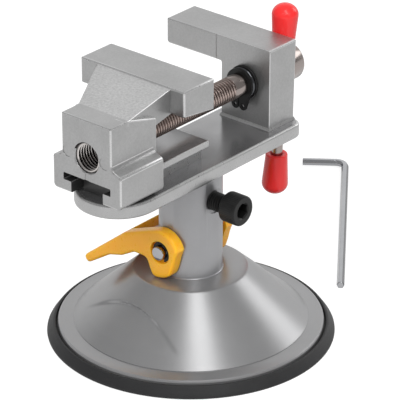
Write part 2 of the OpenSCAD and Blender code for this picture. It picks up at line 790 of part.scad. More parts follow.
// Cap with a blind hole for the bar, its open end at z = 0
module bar_cap() {
    r = cap_d / 2;
    dome = [for (a = [0:15:90]) [r * cos(a), cap_len - r * 0.85 + r * 0.85 * sin(a)]];
    color(red)
        rotate_extrude()
            polygon(concat(
                [[bar_d / 2 + press_gap, 0], [cap_neck_d / 2 - 0.4, 0], [cap_neck_d / 2, 0.4]], dome,
                [[0, cap_len - 2.9], [bar_d / 2 + press_gap, cap_len - 2.9]]
            ));
}
module upper_cap() {
    on_bar() translate([0, 0, bar_up - cap_len]) bar_cap();
}
module lower_cap() {
    on_bar() translate([0, 0, cap_len - bar_down]) mirror([0, 0, 1]) bar_cap();
}

// Hexagon key lying on the surface beside the base
module key_section() {
    c = key_af / sqrt(3);
    polygon([for (k = [0:5]) c * [cos(60 * k), sin(60 * k)]]);
}
module hex_key() {
    color(steel)
        translate([key_x, key_y, key_af / 2]) rotate([0, 0, key_angle]) {
            translate([key_bend_r, -key_bend_r, 0]) rotate([0, 0, 90])
                rotate_extrude(angle = 90, $fn = 64) translate([key_bend_r, 0]) key_section();
            translate([key_bend_r, 0, 0]) rotate([90, 0, 90])
                linear_extrude(key_long - key_bend_r) key_section();
            translate([0, -key_bend_r, 0]) rotate([90, 0, 0])
                linear_extrude(key_short - key_bend_r) key_section();
        }
}

base_housing();
column();
suction_cup();
cup_membrane();
cup_plate();
lock_nut();
pull_rod();
return_spring();
lever();
lever_pin();
near_pin_clip();
far_pin_clip();
clamp_screw();
vise_body();
swivel_spigot();
movable_jaw();
lead_screw();
screw_circlip();
dished_washer();
front_washer();
rear_washer();
tommy_bar();
upper_cap();
lower_cap();
hex_key();
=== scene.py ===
# Suction base vise: a small bench vise on a swivel column and a lever-operated suction base.
# Lengths in the dictionaries are in millimetres, and Blender's unit is the metre.
import math

import bmesh
import bpy
from mathutils import Matrix, Vector


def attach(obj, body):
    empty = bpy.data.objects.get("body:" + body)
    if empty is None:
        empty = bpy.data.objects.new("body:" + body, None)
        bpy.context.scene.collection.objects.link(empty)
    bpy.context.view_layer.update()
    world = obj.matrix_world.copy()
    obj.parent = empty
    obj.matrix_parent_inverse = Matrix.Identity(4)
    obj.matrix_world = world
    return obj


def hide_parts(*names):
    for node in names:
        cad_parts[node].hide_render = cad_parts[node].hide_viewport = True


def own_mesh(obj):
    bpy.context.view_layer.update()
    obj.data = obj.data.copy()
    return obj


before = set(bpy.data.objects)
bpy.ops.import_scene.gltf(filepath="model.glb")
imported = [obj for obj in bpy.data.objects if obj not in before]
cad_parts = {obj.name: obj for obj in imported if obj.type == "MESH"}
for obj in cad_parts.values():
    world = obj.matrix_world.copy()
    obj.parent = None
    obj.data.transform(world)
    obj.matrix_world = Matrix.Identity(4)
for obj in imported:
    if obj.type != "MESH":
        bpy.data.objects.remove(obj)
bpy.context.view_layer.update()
scene = bpy.context.scene
print("frame loaded")


def mm(*values):
    return Vector([v / 1000 for v in values])


# the helpers take lengths in millimetres; "XY", "YZ" and "XZ" name the plane that an outline is drawn in
def spunProfile(points, steps=96, centre=(0, 0, 0), axis="Z", close=False):
    # points are (radius, height) in mm; the profile turns once round the axis
    bm = bmesh.new()
    verts = [bm.verts.new(mm(r, 0, h)) for r, h in points]
    edges = [bm.edges.new(pair) for pair in zip(verts, verts[1:])]
    if close:
        edges.append(bm.edges.new((verts[-1], verts[0])))
    bmesh.ops.spin(bm, geom=verts + edges, cent=(0, 0, 0), axis=(0, 0, 1), angle=math.tau, steps=steps,
                   use_merge=True)
    bmesh.ops.remove_doubles(bm, verts=bm.verts, dist=1e-6)
    bmesh.ops.recalc_face_normals(bm, faces=bm.faces)
    for face in bm.faces:
        face.smooth = True
    placeAlong(bm, centre, axis)
    return bm


def placeAlong(bm, centre, axis):
    # turns what was drawn along Z onto the named axis and moves it to centre
    turns = {"Z": Matrix.Identity(4), "X": Matrix.Rotation(math.radians(90), 4, "Y"),
             "-X": Matrix.Rotation(math.radians(-90), 4, "Y"), "-Y": Matrix.Rotation(math.radians(90), 4, "X")}
    bmesh.ops.transform(bm, matrix=Matrix.Translation(mm(*centre)) @ turns[axis], verts=bm.verts)


def extrudedOutline(outline, plane, low, high, bevel=0, segments=3):
    # outline is drawn in the named plane and extruded along the third axis from low to high
    def corner(a, b, c):
        return {"YZ": mm(c, a, b), "XZ": mm(a, c, b), "XY": mm(a, b, c)}[plane]
    bm = bmesh.new()
    start = bm.faces.new([bm.verts.new(corner(a, b, low)) for a, b in outline])
    grown = bmesh.ops.extrude_face_region(bm, geom=[start])
    ends = [g for g in grown["geom"] if isinstance(g, bmesh.types.BMVert)]
    bmesh.ops.translate(bm, vec=corner(0, 0, high) - corner(0, 0, low), verts=ends)
    bmesh.ops.recalc_face_normals(bm, faces=bm.faces)
    if bevel:
        roundEdges(bm, bevel, segments, lambda e: e.calc_face_angle(0) > 0.6)
    return bm


def roundEdges(bm, width, segments, wanted, clamp=True):
    bm.normal_update()
    edges = [e for e in bm.edges if wanted(e)]
    made = bmesh.ops.bevel(bm, geom=edges, offset=width / 1000, offset_type="OFFSET", affect="EDGES",
                           segments=segments, profile=0.5, material=-1, clamp_overlap=clamp)
    for face in made["faces"]:
        face.smooth = True


def sharpen(bm, degrees):
    # edges that turn by more than this stay crisp in the shading
    bm.normal_update()
    for edge in bm.edges:
        edge.smooth = edge.calc_face_angle(0) < math.radians(degrees)


def acrossX(edge):
    # an edge that lies in a plane square to X
    return abs(edge.verts[0].co.x - edge.verts[1].co.x) < 1e-6


def meshOf(piece):
    # takes the piece's mesh back as a bmesh and removes the piece
    bm = bmesh.new()
    bm.from_mesh(piece.data)
    bpy.data.objects.remove(piece)
    return bm


def arc(radius, angles, y=0, z=0):
    # points on an arc, for the angles given in degrees
    return [(radius * math.cos(math.radians(a)) + y, z + radius * math.sin(math.radians(a))) for a in angles]


def disc(radius, low, high):
    # profile of a plain round tool from low to high
    return [(0, low), (radius, low), (radius, high), (0, high)]


def box(a0, a1, b0, b1):
    return [(a0, b0), (a1, b0), (a1, b1), (a0, b1)]


def meshObject(bm, name):
    mesh = bpy.data.meshes.new(name)
    bm.to_mesh(mesh)
    bm.free()
    piece = bpy.data.objects.new(name, mesh)
    scene.collection.objects.link(piece)
    return piece


def cut(piece, cutters, operation="DIFFERENCE"):
    # the booleans are applied, and the cutters are taken away
    for bm in cutters:
        tool = meshObject(bm, "tool")
        step = piece.modifiers.new("step", "BOOLEAN")
        step.object = tool
        step.operation = operation
        step.solver = "EXACT"
        bpy.context.view_layer.update()
        result = bpy.data.meshes.new_from_object(piece.evaluated_get(bpy.context.evaluated_depsgraph_get()))
        piece.modifiers.clear()
        old = piece.data
        piece.data = result
        bpy.data.meshes.remove(old)
        bpy.data.objects.remove(tool)
    crisp = bmesh.new()
    crisp.from_mesh(piece.data)
    sharpen(crisp, 35)
    crisp.to_mesh(piece.data)
    crisp.free()
    return piece


def joined(*meshes):
    # several closed shells in one mesh
    whole = bmesh.new()
    for bm in meshes:
        part = bpy.data.meshes.new("part")
        bm.to_mesh(part)
        bm.free()
        whole.from_mesh(part)
        bpy.data.meshes.remove(part)
    return whole


def finished(piece, materials, body, nodes):
    # gives the piece its materials, ties it to its body and hides its source nodes
    piece.data.name = piece.name
    indices = [face.material_index for face in piece.data.polygons]
    piece.data.materials.clear()
    for material in materials:
        piece.data.materials.append(material)
    if len(materials) > 1:
        piece.data.polygons.foreach_set("material_index", indices)
    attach(piece, body)
    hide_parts(*nodes)
    return piece


def roundedCorners(points, count=6):
    # outline with each corner rounded by its own radius, given as (a, b, radius)
    out = []
    for i, (x, y, radius) in enumerate(points):
        here = Vector((x, y))
        if radius <= 0:
            out.append((x, y))
            continue
        u = (Vector(points[i - 1][:2]) - here).normalized()
        v = (Vector(points[(i + 1) % len(points)][:2]) - here).normalized()
        half = u.angle(v) / 2
        middle = here + (u + v).normalized() * radius / math.sin(half)
        first = here + u * radius / math.tan(half) - middle
        last = here + v * radius / math.tan(half) - middle
        a0 = math.atan2(first.y, first.x)
        turn = (math.atan2(last.y, last.x) - a0 + math.pi) % math.tau - math.pi
        out += [(middle.x + radius * math.cos(a0 + turn * k / count),
                 middle.y + radius * math.sin(a0 + turn * k / count)) for k in range(count + 1)]
    return out


def paintEdgeHighlights(mesh, index, plain, widest=0.42, shortest=1.0):
    # painted highlight: the narrow strips that a bevel leaves get a lighter grey for the light their rounding
    # catches
    for face in mesh.polygons:
        corners = [mesh.vertices[i].co for i in face.vertices]
        longest = max((a - b).length for a, b in zip(corners, corners[1:] + corners[:1]))
        strip = longest > shortest / 1000 and face.area / longest < widest / 1000
        if strip and len(corners) > 3 and face.material_index in plain:
            face.material_index = index


def threadTube(radius, depth, pitch, x0, x1, steps=32):
    # one pitch of the profile is turned into a screw along X, trimmed at both ends and closed
    bm = bmesh.new()
    turns = math.ceil((x1 - x0) / pitch) + 2
    root = radius - depth
    shape = [(0, radius), (0.12, radius), (0.44, root), (0.56, root), (0.88, radius), (1, radius)]
    verts = [bm.verts.new(mm(x0 + (s - 1.5) * pitch, 0, r)) for s, r in shape]
    edges = [bm.edges.new(pair) for pair in zip(verts, verts[1:])]
    bmesh.ops.spin(bm, geom=verts + edges, cent=(0, 0, 0), axis=(1, 0, 0), angle=math.tau * turns,
                   steps=steps * turns, dvec=mm(pitch / steps, 0, 0))
    bmesh.ops.remove_doubles(bm, verts=bm.verts, dist=2e-6)
    for x, side in ((x0, -1), (x1, 1)):
        trim = bmesh.ops.bisect_plane(bm, geom=bm.verts[:] + bm.edges[:] + bm.faces[:], dist=1e-7,
                                      plane_co=mm(x, 0, 0), plane_no=(side, 0, 0), clear_outer=True)
        rim = [g for g in trim["geom_cut"] if isinstance(g, bmesh.types.BMEdge)]
        bmesh.ops.edgeloop_fill(bm, edges=rim)
    bmesh.ops.recalc_face_normals(bm, faces=bm.faces)
    for face in bm.faces:
        face.smooth = len(face.verts) == 4
    sharpen(bm, 30)
    return bm


def linear(hexColour):
    # a colour of the screen as the linear values that a shader takes
    channels = [int(hexColour[i:i + 2], 16) / 255 for i in (1, 3, 5)]
    return [c / 12.92 if c <= 0.04045 else ((c + 0.055) / 1.055) ** 2.4 for c in channels] + [1]


def node(tree, kind, settings=None, links=None):
    # adds a node; settings go to its properties or sockets, links name what feeds its sockets
    made = tree.nodes.new(kind)
    for key, value in (settings or {}).items():
        if isinstance(key, str) and hasattr(made, key):
            setattr(made, key, value)
        else:
            made.inputs[key].default_value = value
    for key, source in (links or {}).items():
        tree.links.new(source, made.inputs[key])
    return made


def ranged(tree, source, low, high, toLow, toHigh):
    # maps what lies between low and high to toLow and toHigh
    return node(tree, "ShaderNodeMapRange", {"From Min": low, "From Max": high, "To Min": toLow, "To Max": toHigh},
                {"Value": source})


def dimmed(tree, colour, share):
    # the colour times the share
    return node(tree, "ShaderNodeVectorMath", {"operation": "SCALE"}, {0: colour, "Scale": share}).outputs[0]


def finish(name, colour, metallic, roughness, grainMm, grainDepthMm, variation=0.06, roughRange=0.08,
           stretch=(1, 1, 1), speckle=0, dark=None, extra=None):
    # grain drives the bump, the roughness and the speckle, and a slow cloud of 14 mm varies the colour
    material = bpy.data.materials.new(name)
    material.use_nodes = True
    tree = material.node_tree
    shader = tree.nodes["Principled BSDF"]
    place = node(tree, "ShaderNodeTexCoord")
    scaled = node(tree, "ShaderNodeMapping", {"Scale": stretch}, {"Vector": place.outputs["Object"]})
    grain = node(tree, "ShaderNodeTexNoise", {"Scale": 1000 / grainMm, "Detail": 3, "Roughness": 0.6},
                 {"Vector": scaled.outputs[0]})
    cloud = node(tree, "ShaderNodeTexNoise", {"Scale": 1000 / 14, "Detail": 4, "Roughness": 0.55},
                 {"Vector": place.outputs["Object"]})
    base = linear(colour)
    tone = ranged(tree, cloud.outputs["Fac"], 0.3, 0.7, 1 - variation, 1 + variation)
    mixed = node(tree, "ShaderNodeVectorMath", {"operation": "SCALE", 0: base[:3]}, {"Scale": tone.outputs[0]})
    colourOut = mixed.outputs[0]
    if speckle:
        spots = ranged(tree, grain.outputs["Fac"], 0.35, 0.65, 1 - speckle, 1 + speckle)
        colourOut = dimmed(tree, colourOut, spots.outputs[0])
    if dark:
        # painted shade darkens the roots: centre, dark and clear radius in mm, share of colour left, and the plane
        centre, low, high, left, plane = dark
        away = node(tree, "ShaderNodeVectorMath", {"operation": "SUBTRACT", 1: mm(*centre)},
                    {0: place.outputs["Object"]})
        across = node(tree, "ShaderNodeVectorMath", {"operation": "MULTIPLY", 1: plane}, {0: away.outputs[0]})
        far = node(tree, "ShaderNodeVectorMath", {"operation": "LENGTH"}, {0: across.outputs[0]})
        rootShadeShare = ranged(tree, far.outputs["Value"], low / 1000, high / 1000, left, 1)
        colourOut = dimmed(tree, colourOut, rootShadeShare.outputs[0])
    tree.links.new(colourOut, shader.inputs["Base Color"])
    rough = ranged(tree, grain.outputs["Fac"], 0.3, 0.7, roughness - roughRange / 2, roughness + roughRange / 2)
    tree.links.new(rough.outputs[0], shader.inputs["Roughness"])
    bump = node(tree, "ShaderNodeBump", {"Strength": 1, "Distance": grainDepthMm / 1000},
                {"Height": grain.outputs["Fac"]})
    tree.links.new(bump.outputs[0], shader.inputs["Normal"])
    shader.inputs["Metallic"].default_value = metallic
    for key, value in (extra or {}).items():
        shader.inputs[key].default_value = value
    return material


# glass-bead blasting leaves a soft even grey; its grain is drawn at 0.9 mm, coarser than real, so that it shows
blastedAluminium = finish("blastedAluminium", "#B0B0B0", 0.9, 0.38, 0.9, 0.06, speckle=0.06)
# as-cast skin of the web, coarser than the blasted faces and mottled at about 1 mm; its lighter grey is painted
# light, for the light that falls on the web's top
litCastSkin = finish("litCastSkin", "#BFBFBF", 0.75, 0.42, 1.1, 0.35, variation=0.04, speckle=0.13)
# painted light: the plate's sides and the other faces below the rail's top get a lighter grey for the floor's light
# they throw back
litPlateSide = finish("litPlateSide", "#B8B8B8", 0.9, 0.3, 0.8, 0.004)
# painted highlight: a lighter grey for the bevels' narrow strips, in place of the light that their rounding catches
paintedEdgeHighlight = finish("paintedEdgeHighlight", "#D2D2D2", 0.9, 0.3, 0.6, 0.004)
# painted shade: in the slot and on the rail's front end, the rail and the jaw get a dark grey for the shade under
# the jaw
slotShade = finish("slotShade", "#555555", 0.8, 0.45, 0.8, 0.02, variation=0.2)
# ground faces throw back a blurred picture of what stands on them
groundAluminium = finish("groundAluminium", "#A8A8A9", 0.85, 0.22, 0.6, 0.002, stretch=(0.15, 1, 1))
# die-cast and satin polished, so it mirrors the room in broad soft bands
polishedHousing = finish("polishedHousing", "#9A9A9B", 0.7, 0.3, 0.5, 0.0006, variation=0.03,
                         roughRange=0.04)
# turned and polished, with its fine marks drawn out along the axis
polishedColumn = finish("polishedColumn", "#A6A6A8", 0.8, 0.34, 0.5, 0.0006, variation=0.03,
                        stretch=(1, 1, 0.2))
# moulded rubber with a dusty sheen
mouldedRubber = finish("mouldedRubber", "#1F1F20", 0, 0.55, 0.8, 0.03, variation=0.15)
# moulded nylon, glossy, and light goes a few millimetres into it
amberNylon = finish("amberNylon", "#FFB128", 0, 0.3, 1.2, 0.01, variation=0.03,
                    extra={"Subsurface Weight": 0.5, "Subsurface Radius": (0.008, 0.004, 0.001),
                           "Subsurface Scale": 1})
# vinyl dip coating, smooth and wet-looking
redDip = finish("redDip", "#E42B2B", 0, 0.22, 3, 0.01, variation=0.04)
# nickel plating with a warm tint
nickelPlate = finish("nickelPlate", "#A69C98", 1, 0.17, 0.6, 0.002)
# the same plating on the thread, its roots painted darker for the shade that fills them
threadRootShade = finish("threadRootShade", "#C2B0A9", 1, 0.24, 0.6, 0.002,
                     dark=((0, 0, 102.2), 4.2, 4.85, 0.1, (0, 1, 1)))
# the tapped hole, its outer roots painted dark for the shade that fills them
holeRootShade = finish("holeRootShade", "#D2CDCA", 1, 0.2, 0.6, 0.002, dark=((0, 0, 102.2), 6.3, 5.8, 0.06, (0, 1, 1)))
# ground and chromed steel of the pin's ends and the key
brightSteel = finish("brightSteel", "#B4B5B8", 1, 0.1, 0.5, 0.002)
# dark steel, shiny: the dished washer is this dark, and on the key's far flats it is painted shade
darkSteelAndShade = finish("darkSteelAndShade", "#5A5B5E", 1, 0.14, 0.5, 0.002)
# plain turned steel of the hidden parts
turnedSteel = finish("turnedSteel", "#B7B9BC", 1, 0.28, 0.4, 0.004)
# black oxide under a film of oil
blackOxide = finish("blackOxide", "#1E1E1E", 0.5, 0.36, 0.4, 0.01, variation=0.15)
# spring wire, bare and a little dull
springSteel = finish("springSteel", "#8E9094", 1, 0.3, 0.5, 0.004)
print("finishes made")


# the base: a die-cast housing on a rubber ring, with the column on its hub
housing = {"seatZ": 3.0, "rimR": 56.2, "rimZ": 5.9, "footR": 49.0, "footZ": 7.1, "hubR": 23.85, "hubZ": 29.8,
           "holeR": 11.02, "roofZ": 22.8, "wall": 3.4, "scoopX": 31.6, "scoopR": 200, "scoopTurn": -5.9,
           "scoopDepth": 2.5, "scoopEdge": 1.9, "scoopRunOut": 0.3, "scoopGain": 1.25, "rows": 52, "steps": 480}


def coneSlope():
    # how much the radius grows for each millimetre down
    return (housing["footR"] - housing["hubR"]) / (housing["hubZ"] - housing["footZ"])


def coneRadius(z):
    return housing["hubR"] + (housing["hubZ"] - z) * coneSlope()


def makeHousing():
    h = housing
    # the inner cone lies this much lower, which leaves the wall's thickness between them
    drop = h["wall"] * math.sqrt(1 + coneSlope() ** 2) / coneSlope()
    rim, seat, edge = h["rimR"], h["seatZ"], h["rimZ"]
    outer = [(rim - 3.6, seat), (rim - 0.2, seat), (rim, seat + 0.3), (rim, edge - 0.9), (rim - 0.25, edge - 0.3),
             (rim - 0.8, edge), (rim - 1.3, edge + 0.05), (h["footR"] + 0.75, edge + 0.35),
             (h["footR"] + 0.4, edge + 0.5)]
    low, high = edge + 0.8, h["hubZ"] - 0.5
    heights = [low + (high - low) * i / h["rows"] for i in range(h["rows"] + 1)]
    outer += [(coneRadius(z), z) for z in heights]
    outer += [(h["hubR"] + 0.1, h["hubZ"] - 0.15), (h["hubR"] - 0.4, h["hubZ"]), (17, h["hubZ"]),
              (h["holeR"], h["hubZ"]), (h["holeR"], h["roofZ"]), (coneRadius(h["roofZ"] + drop), h["roofZ"]),
              (coneRadius(seat + 1.2 + drop), seat + 1.2), (rim - 3.6, seat + 0.6)]
    bm = spunProfile(outer, steps=h["steps"], close=True)
    turn = Matrix.Rotation(math.radians(-h["scoopTurn"]), 2)
    for vert in bm.verts:
        # a shallow scoop on either side of the cone, with a curved edge, that runs out towards the foot
        r = math.hypot(vert.co.x, vert.co.y) * 1000
        z = vert.co.z * 1000
        if z < edge + 0.7 or z > h["hubZ"] - 0.45 or r < coneRadius(z) - 0.3:
            continue
        flat = turn @ Vector((vert.co.x, vert.co.y)) * 1000
        bound = h["scoopX"] + h["scoopR"] - math.sqrt(h["scoopR"] ** 2 - flat.y ** 2)
        inside = min(max((abs(flat.x) - bound) / h["scoopEdge"], 0), 1)
        t = (z - h["footZ"] - 0.6) / (h["hubZ"] - 2 - h["footZ"] - 0.6)
        depth = max((h["scoopDepth"] + h["scoopRunOut"]) * max(t, 0) ** 1.2 - h["scoopRunOut"], 0) * h["scoopGain"]
        depth *= inside * inside * (3 - 2 * inside)
        vert.co.x *= (r - depth) / r
        vert.co.y *= (r - depth) / r
    sharpen(bm, 22)
    finished(meshObject(bm, "housing"), [polishedHousing], "base", ["base_housing"])


makeHousing()

# rubber ring with a double sealing bead below and a lip round the flange
ring = {"outerR": 60.8, "innerR": 50.0, "sealW": 8.0, "seatZ": 3.0, "lipR": 56.9, "lipZ": 4.8}


def makeRing():
    r, inner, seat, lipR, lipZ = [ring[key] for key in ("outerR", "innerR", "seatZ", "lipR", "lipZ")]
    profile = [(inner, 0.6), (r - 0.9 - ring["sealW"], 0.05), (r - ring["sealW"], 0), (r - 5.6, 0),
               (r - 5.2, 0.3), (r - 4.8, 0), (r - 0.5, 0), (r - 0.12, 0.12), (r, 0.5), (r - 0.05, 0.9),
               (r - 0.3, 1.4), (r - 1.1, 2.5), (r - 2.0, 3.7), (r - 2.45, 4.35), (r - 2.75, lipZ - 0.1),
               (r - 3.1, lipZ), (r - 3.5, lipZ - 0.05), (lipR + 0.1, lipZ - 0.3), (lipR, lipZ - 0.6), (lipR, seat),
               (inner, seat)]
    bm = spunProfile(profile, steps=240, close=True)
    sharpen(bm, 50)
    finished(meshObject(bm, "rubberRing"), [mouldedRubber], "base", ["suction_cup"])


makeRing()

# the sealing sheet inside the ring; the pull rod's plate lifts its crown
membrane = {"rimR": 50.0, "rimZ": 0.6, "thick": 2.4, "crownZ": 9.0, "plateR": 20.0, "travel": 2.06,
            "ripple": 0.35, "ripples": 2.5, "rows": 24}


def makeMembrane():
    # shallow folds let the crown move up and down
    m = membrane
    under = [(0.0, m["crownZ"] - m["thick"]), (m["plateR"] - 2, m["crownZ"] - m["thick"])]
    over = [(m["plateR"] + 0.5, m["crownZ"]), (0.0, m["crownZ"])]
    low, high = [], []
    for i in range(1, m["rows"]):
        t = i / m["rows"]
        r = m["plateR"] + 1 + t * (m["rimR"] - m["plateR"] - 3)
        fall = (1 - t) ** 1.15 * (m["crownZ"] - m["rimZ"] - m["thick"] - 0.1)
        ripple = m["ripple"] * math.sin(t * math.tau * m["ripples"]) * math.sin(math.pi * t)
        low.append((r - 0.8, m["rimZ"] + 0.1 + fall + ripple))
        high.append((r, m["rimZ"] + m["thick"] + 0.05 + fall + ripple))
    rim = [(m["rimR"], m["rimZ"]), (m["rimR"], m["rimZ"] + m["thick"])]
    bm = spunProfile(under + low + rim + list(reversed(high)) + over, steps=160)
    piece = finished(meshObject(bm, "membrane"), [mouldedRubber], "base", ["cup_membrane"])
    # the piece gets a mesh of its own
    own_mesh(piece)


makeMembrane()

# tube with a lengthwise slot for the lever's pin
column = {"radius": 13.3, "footZ": 29.8, "topZ": 76.8, "rodBore": 6.06, "spigotBore": 8.06, "boreTop": 51.8,
          "slotW": 6.3, "pinY": 1.3, "pinZ": 42.3, "lift": 2.0, "clampZ": 64.0, "clampR": 4.06, "flatR": 5.5,
          "bottom": 22.8}


def makeColumn():
    c = column
    r, foot, top, bore = c["radius"], c["footZ"], c["topZ"], c["spigotBore"]
    profile = [(c["rodBore"], c["bottom"]), (10.9, c["bottom"]), (11, c["bottom"] + 0.2), (11, foot),
               (r + 0.4, foot), (r + 0.35, foot + 0.2), (r + 0.1, foot + 0.4), (r, foot + 0.7), (r, top - 0.5),
               (r - 0.15, top - 0.15), (r - 0.5, top), (bore + 0.5, top), (bore, top - 0.5), (bore, c["boreTop"]),
               (c["rodBore"], c["boreTop"])]
    bm = spunProfile(profile, steps=128, close=True)
    sharpen(bm, 50)
    piece = meshObject(bm, "column")
    half = c["slotW"] / 2
    turns = [math.pi * (k / 10 - 0.5) for k in range(11)]
    slot = [(c["pinY"] + half * math.sin(a), c["pinZ"] + half * math.cos(a)) for a in turns]
    slot += [(c["pinY"] - half * math.sin(a), c["pinZ"] - c["lift"] - half * math.cos(a)) for a in turns]
    # the clamp screw's hole, with a round flat cut about its mouth
    r, wide = c["clampR"], c["flatR"]
    entry = spunProfile([(0, 6), (r, 6), (r, 12.2), (wide, 12.6), (wide, 15), (0, 15)], steps=40,
                        centre=(0, 0, c["clampZ"]), axis="-Y")
    cut(piece, [extrudedOutline(slot, "YZ", -20, 20), entry])
    finished(piece, [polishedColumn], "base", ["column"])


makeColumn()
print("base built")


# the forked lever and the pin that its two cams turn on
lever = {"halfWidth": 18.5, "armT": 4.9, "pinY": 1.3, "pinZ": 42.3, "camHigh": 12.2, "lift": 2.0, "throw": 45,
         "eyeR": 9.9, "reach": 43.0, "drop": 15.5, "thick": 3.8, "start": 19.7, "recessR": 5.0, "recessDepth": 2.0,
         "edge": 1.3, "bore": 3.06, "pointGap": 0.35}


def leverTip(under):
    # the end of the handle, so much under its upper side
    fall = math.atan2(lever["drop"] + 2.8, lever["reach"] - 20)
    return (lever["reach"] - under * math.sin(fall), -lever["drop"] - under * math.cos(fall))


def leverOutline():
    v = lever
    throw = math.radians(v["throw"])
    slope = v["lift"] / throw
    # (y, z) from the pin: the cam, whose radius falls by the lift over the throw, then the eye and the handle
    points = []
    for i in range(7):
        a = throw * i / 6
        p = v["camHigh"] - v["lift"] * i / 6
        points.append((slope * math.cos(a) - p * math.sin(a), -p * math.cos(a) - slope * math.sin(a)))
    points += [(-6.9, -5), (-7.8, -1.2), (-8.8, 1.4)]
    points += [(-v["eyeR"] * math.sin(math.radians(a)), -v["eyeR"] * math.cos(math.radians(a)))
               for a in range(107, 188, 8)]
    points += roundedCorners([(2.9, 9.5, 0), (14.5, 5, 8), (20, 2.8, 6), (*leverTip(0), 1.7),
                              (*leverTip(v["thick"]), 1.7), (28.5, -10.6, 6), (21.5, -8.6, 6), (14.5, -4.6, 4),
                              (7.6, -4.6, 2.4), (5.9, 3.4 - v["camHigh"], 3), (4.4, 0.5 - v["camHigh"], 1.8),
                              (*points[0], 0)])
    for _ in range(2):
        # each corner is cut twice, which leaves the soft turns of a moulded part
        points = [(a[0] * (1 - t) + b[0] * t, a[1] * (1 - t) + b[1] * t)
                  for a, b in zip(points, points[1:] + points[:1]) for t in (0.25, 0.75)]
    # points that lie too close together would spoil the rounding of the edges
    kept = points[:1]
    for point in points[1:]:
        if math.dist(point, kept[-1]) > v["pointGap"] and math.dist(point, kept[0]) > v["pointGap"]:
            kept.append(point)
    return [(v["pinY"] + y, v["pinZ"] + z) for y, z in kept]


def makeLever():
    v = lever
    bm = extrudedOutline(leverOutline(), "YZ", -v["halfWidth"], v["halfWidth"])
    roundEdges(bm, v["edge"], 5, acrossX, clamp=False)
    bmesh.ops.remove_doubles(bm, verts=bm.verts, dist=1e-5)
    for face in bm.faces:
        face.smooth = abs(face.normal.x) < 0.999
    sharpen(bm, 50)
    piece = meshObject(bm, "lever")
    inner = v["halfWidth"] - v["armT"]
    low = leverTip(v["thick"])
    # the gap between the two arms, below the handle
    gap = roundedCorners([(-20, -30, 0), (v["reach"] + 10, -30, 0), (v["reach"] + 10, low[1] - 8, 0),
                          (low[0] - 0.6, low[1] - 0.5, 0), (v["start"] + 4, -6.2, 5),
                          (v["start"], 2.4 - v["thick"] - 0.4, 0.8), (v["start"], 12, 0), (-20, 12, 0)])
    gap = [(v["pinY"] + y, v["pinZ"] + z) for y, z in gap]
    outside, r, eye = v["halfWidth"], v["recessR"], (0, v["pinY"], v["pinZ"])
    floor = outside - v["recessDepth"]
    recess = [spunProfile([(0, floor), (r, floor), (r, outside - 0.3), (r + 0.5, outside + 0.3), (0, 22)],
                          steps=48, centre=eye, axis=axis) for axis in ("X", "-X")]
    hole = spunProfile(disc(v["bore"], -20, 20), steps=40, centre=eye, axis="X")
    cut(piece, [extrudedOutline(gap, "YZ", -inner, inner)] + recess + [hole])
    finished(piece, [amberNylon], "lever", ["lever"])


makeLever()

# pin across the column, with a clip near each end
pin = {"radius": 3.0, "end": 19.8, "grooveDepth": 0.6, "clipX": 16.6, "clipT": 0.7, "clipR": 4.5, "fingerR": 2.42,
       "clearR": 3.25}


def makePin():
    e, r, groove = pin["end"], pin["radius"], pin["radius"] - pin["grooveDepth"]
    left, right = pin["clipX"] - 0.05, pin["clipX"] + pin["clipT"] + 0.05
    half = [(0, 0), (r, 0), (r, left), (groove, left), (groove, right), (r, right), (r, e - 0.5),
            (r - 0.15, e - 0.15), (r - 0.5, e), (0, e)]
    whole = [(a, -b) for a, b in reversed(half[1:])] + half[1:]
    bm = spunProfile(whole, steps=48, centre=(0, lever["pinY"], lever["pinZ"]), axis="X")
    sharpen(bm, 40)
    finished(meshObject(bm, "leverPin"), [brightSteel], "rod", ["lever_pin"])
    for name, nodeName, side in (("pinClipNear", "near_pin_clip", -1), ("pinClipFar", "far_pin_clip", 1)):
        # retaining clip with inner fingers, open at the bottom
        outline = arc(pin["clipR"], [-90 + 22 + 316 * k / 48 for k in range(49)])
        for k in range(48, -1, -1):
            reach = pin["fingerR"] if k % 16 in (0, 1, 15) or k > 46 else pin["clearR"]
            outline += arc(reach, [-90 + 30 + 300 * k / 48])
        low = side * (pin["clipX"] + pin["clipT"] / 2) - pin["clipT"] / 2
        outline = [(lever["pinY"] + a, lever["pinZ"] + b) for a, b in outline]
        clip = extrudedOutline(outline, "YZ", low, low + pin["clipT"])
        finished(meshObject(clip, name), [blackOxide], "rod", [nodeName])


makePin()
print("lever built")


# socket-head screw that holds the spigot
clampScrew = {"z": 64.0, "tipY": -6.1, "headY": -20.1, "headR": 6.5, "headH": 8.0, "threadR": 4.0, "pitch": 1.25,
              "threadDepth": 0.62, "threadLen": 11.9, "hexAf": 6.0, "hexDepth": 4.5, "dogR": 2.75, "knurls": 48,
              "knurlShare": 0.02}


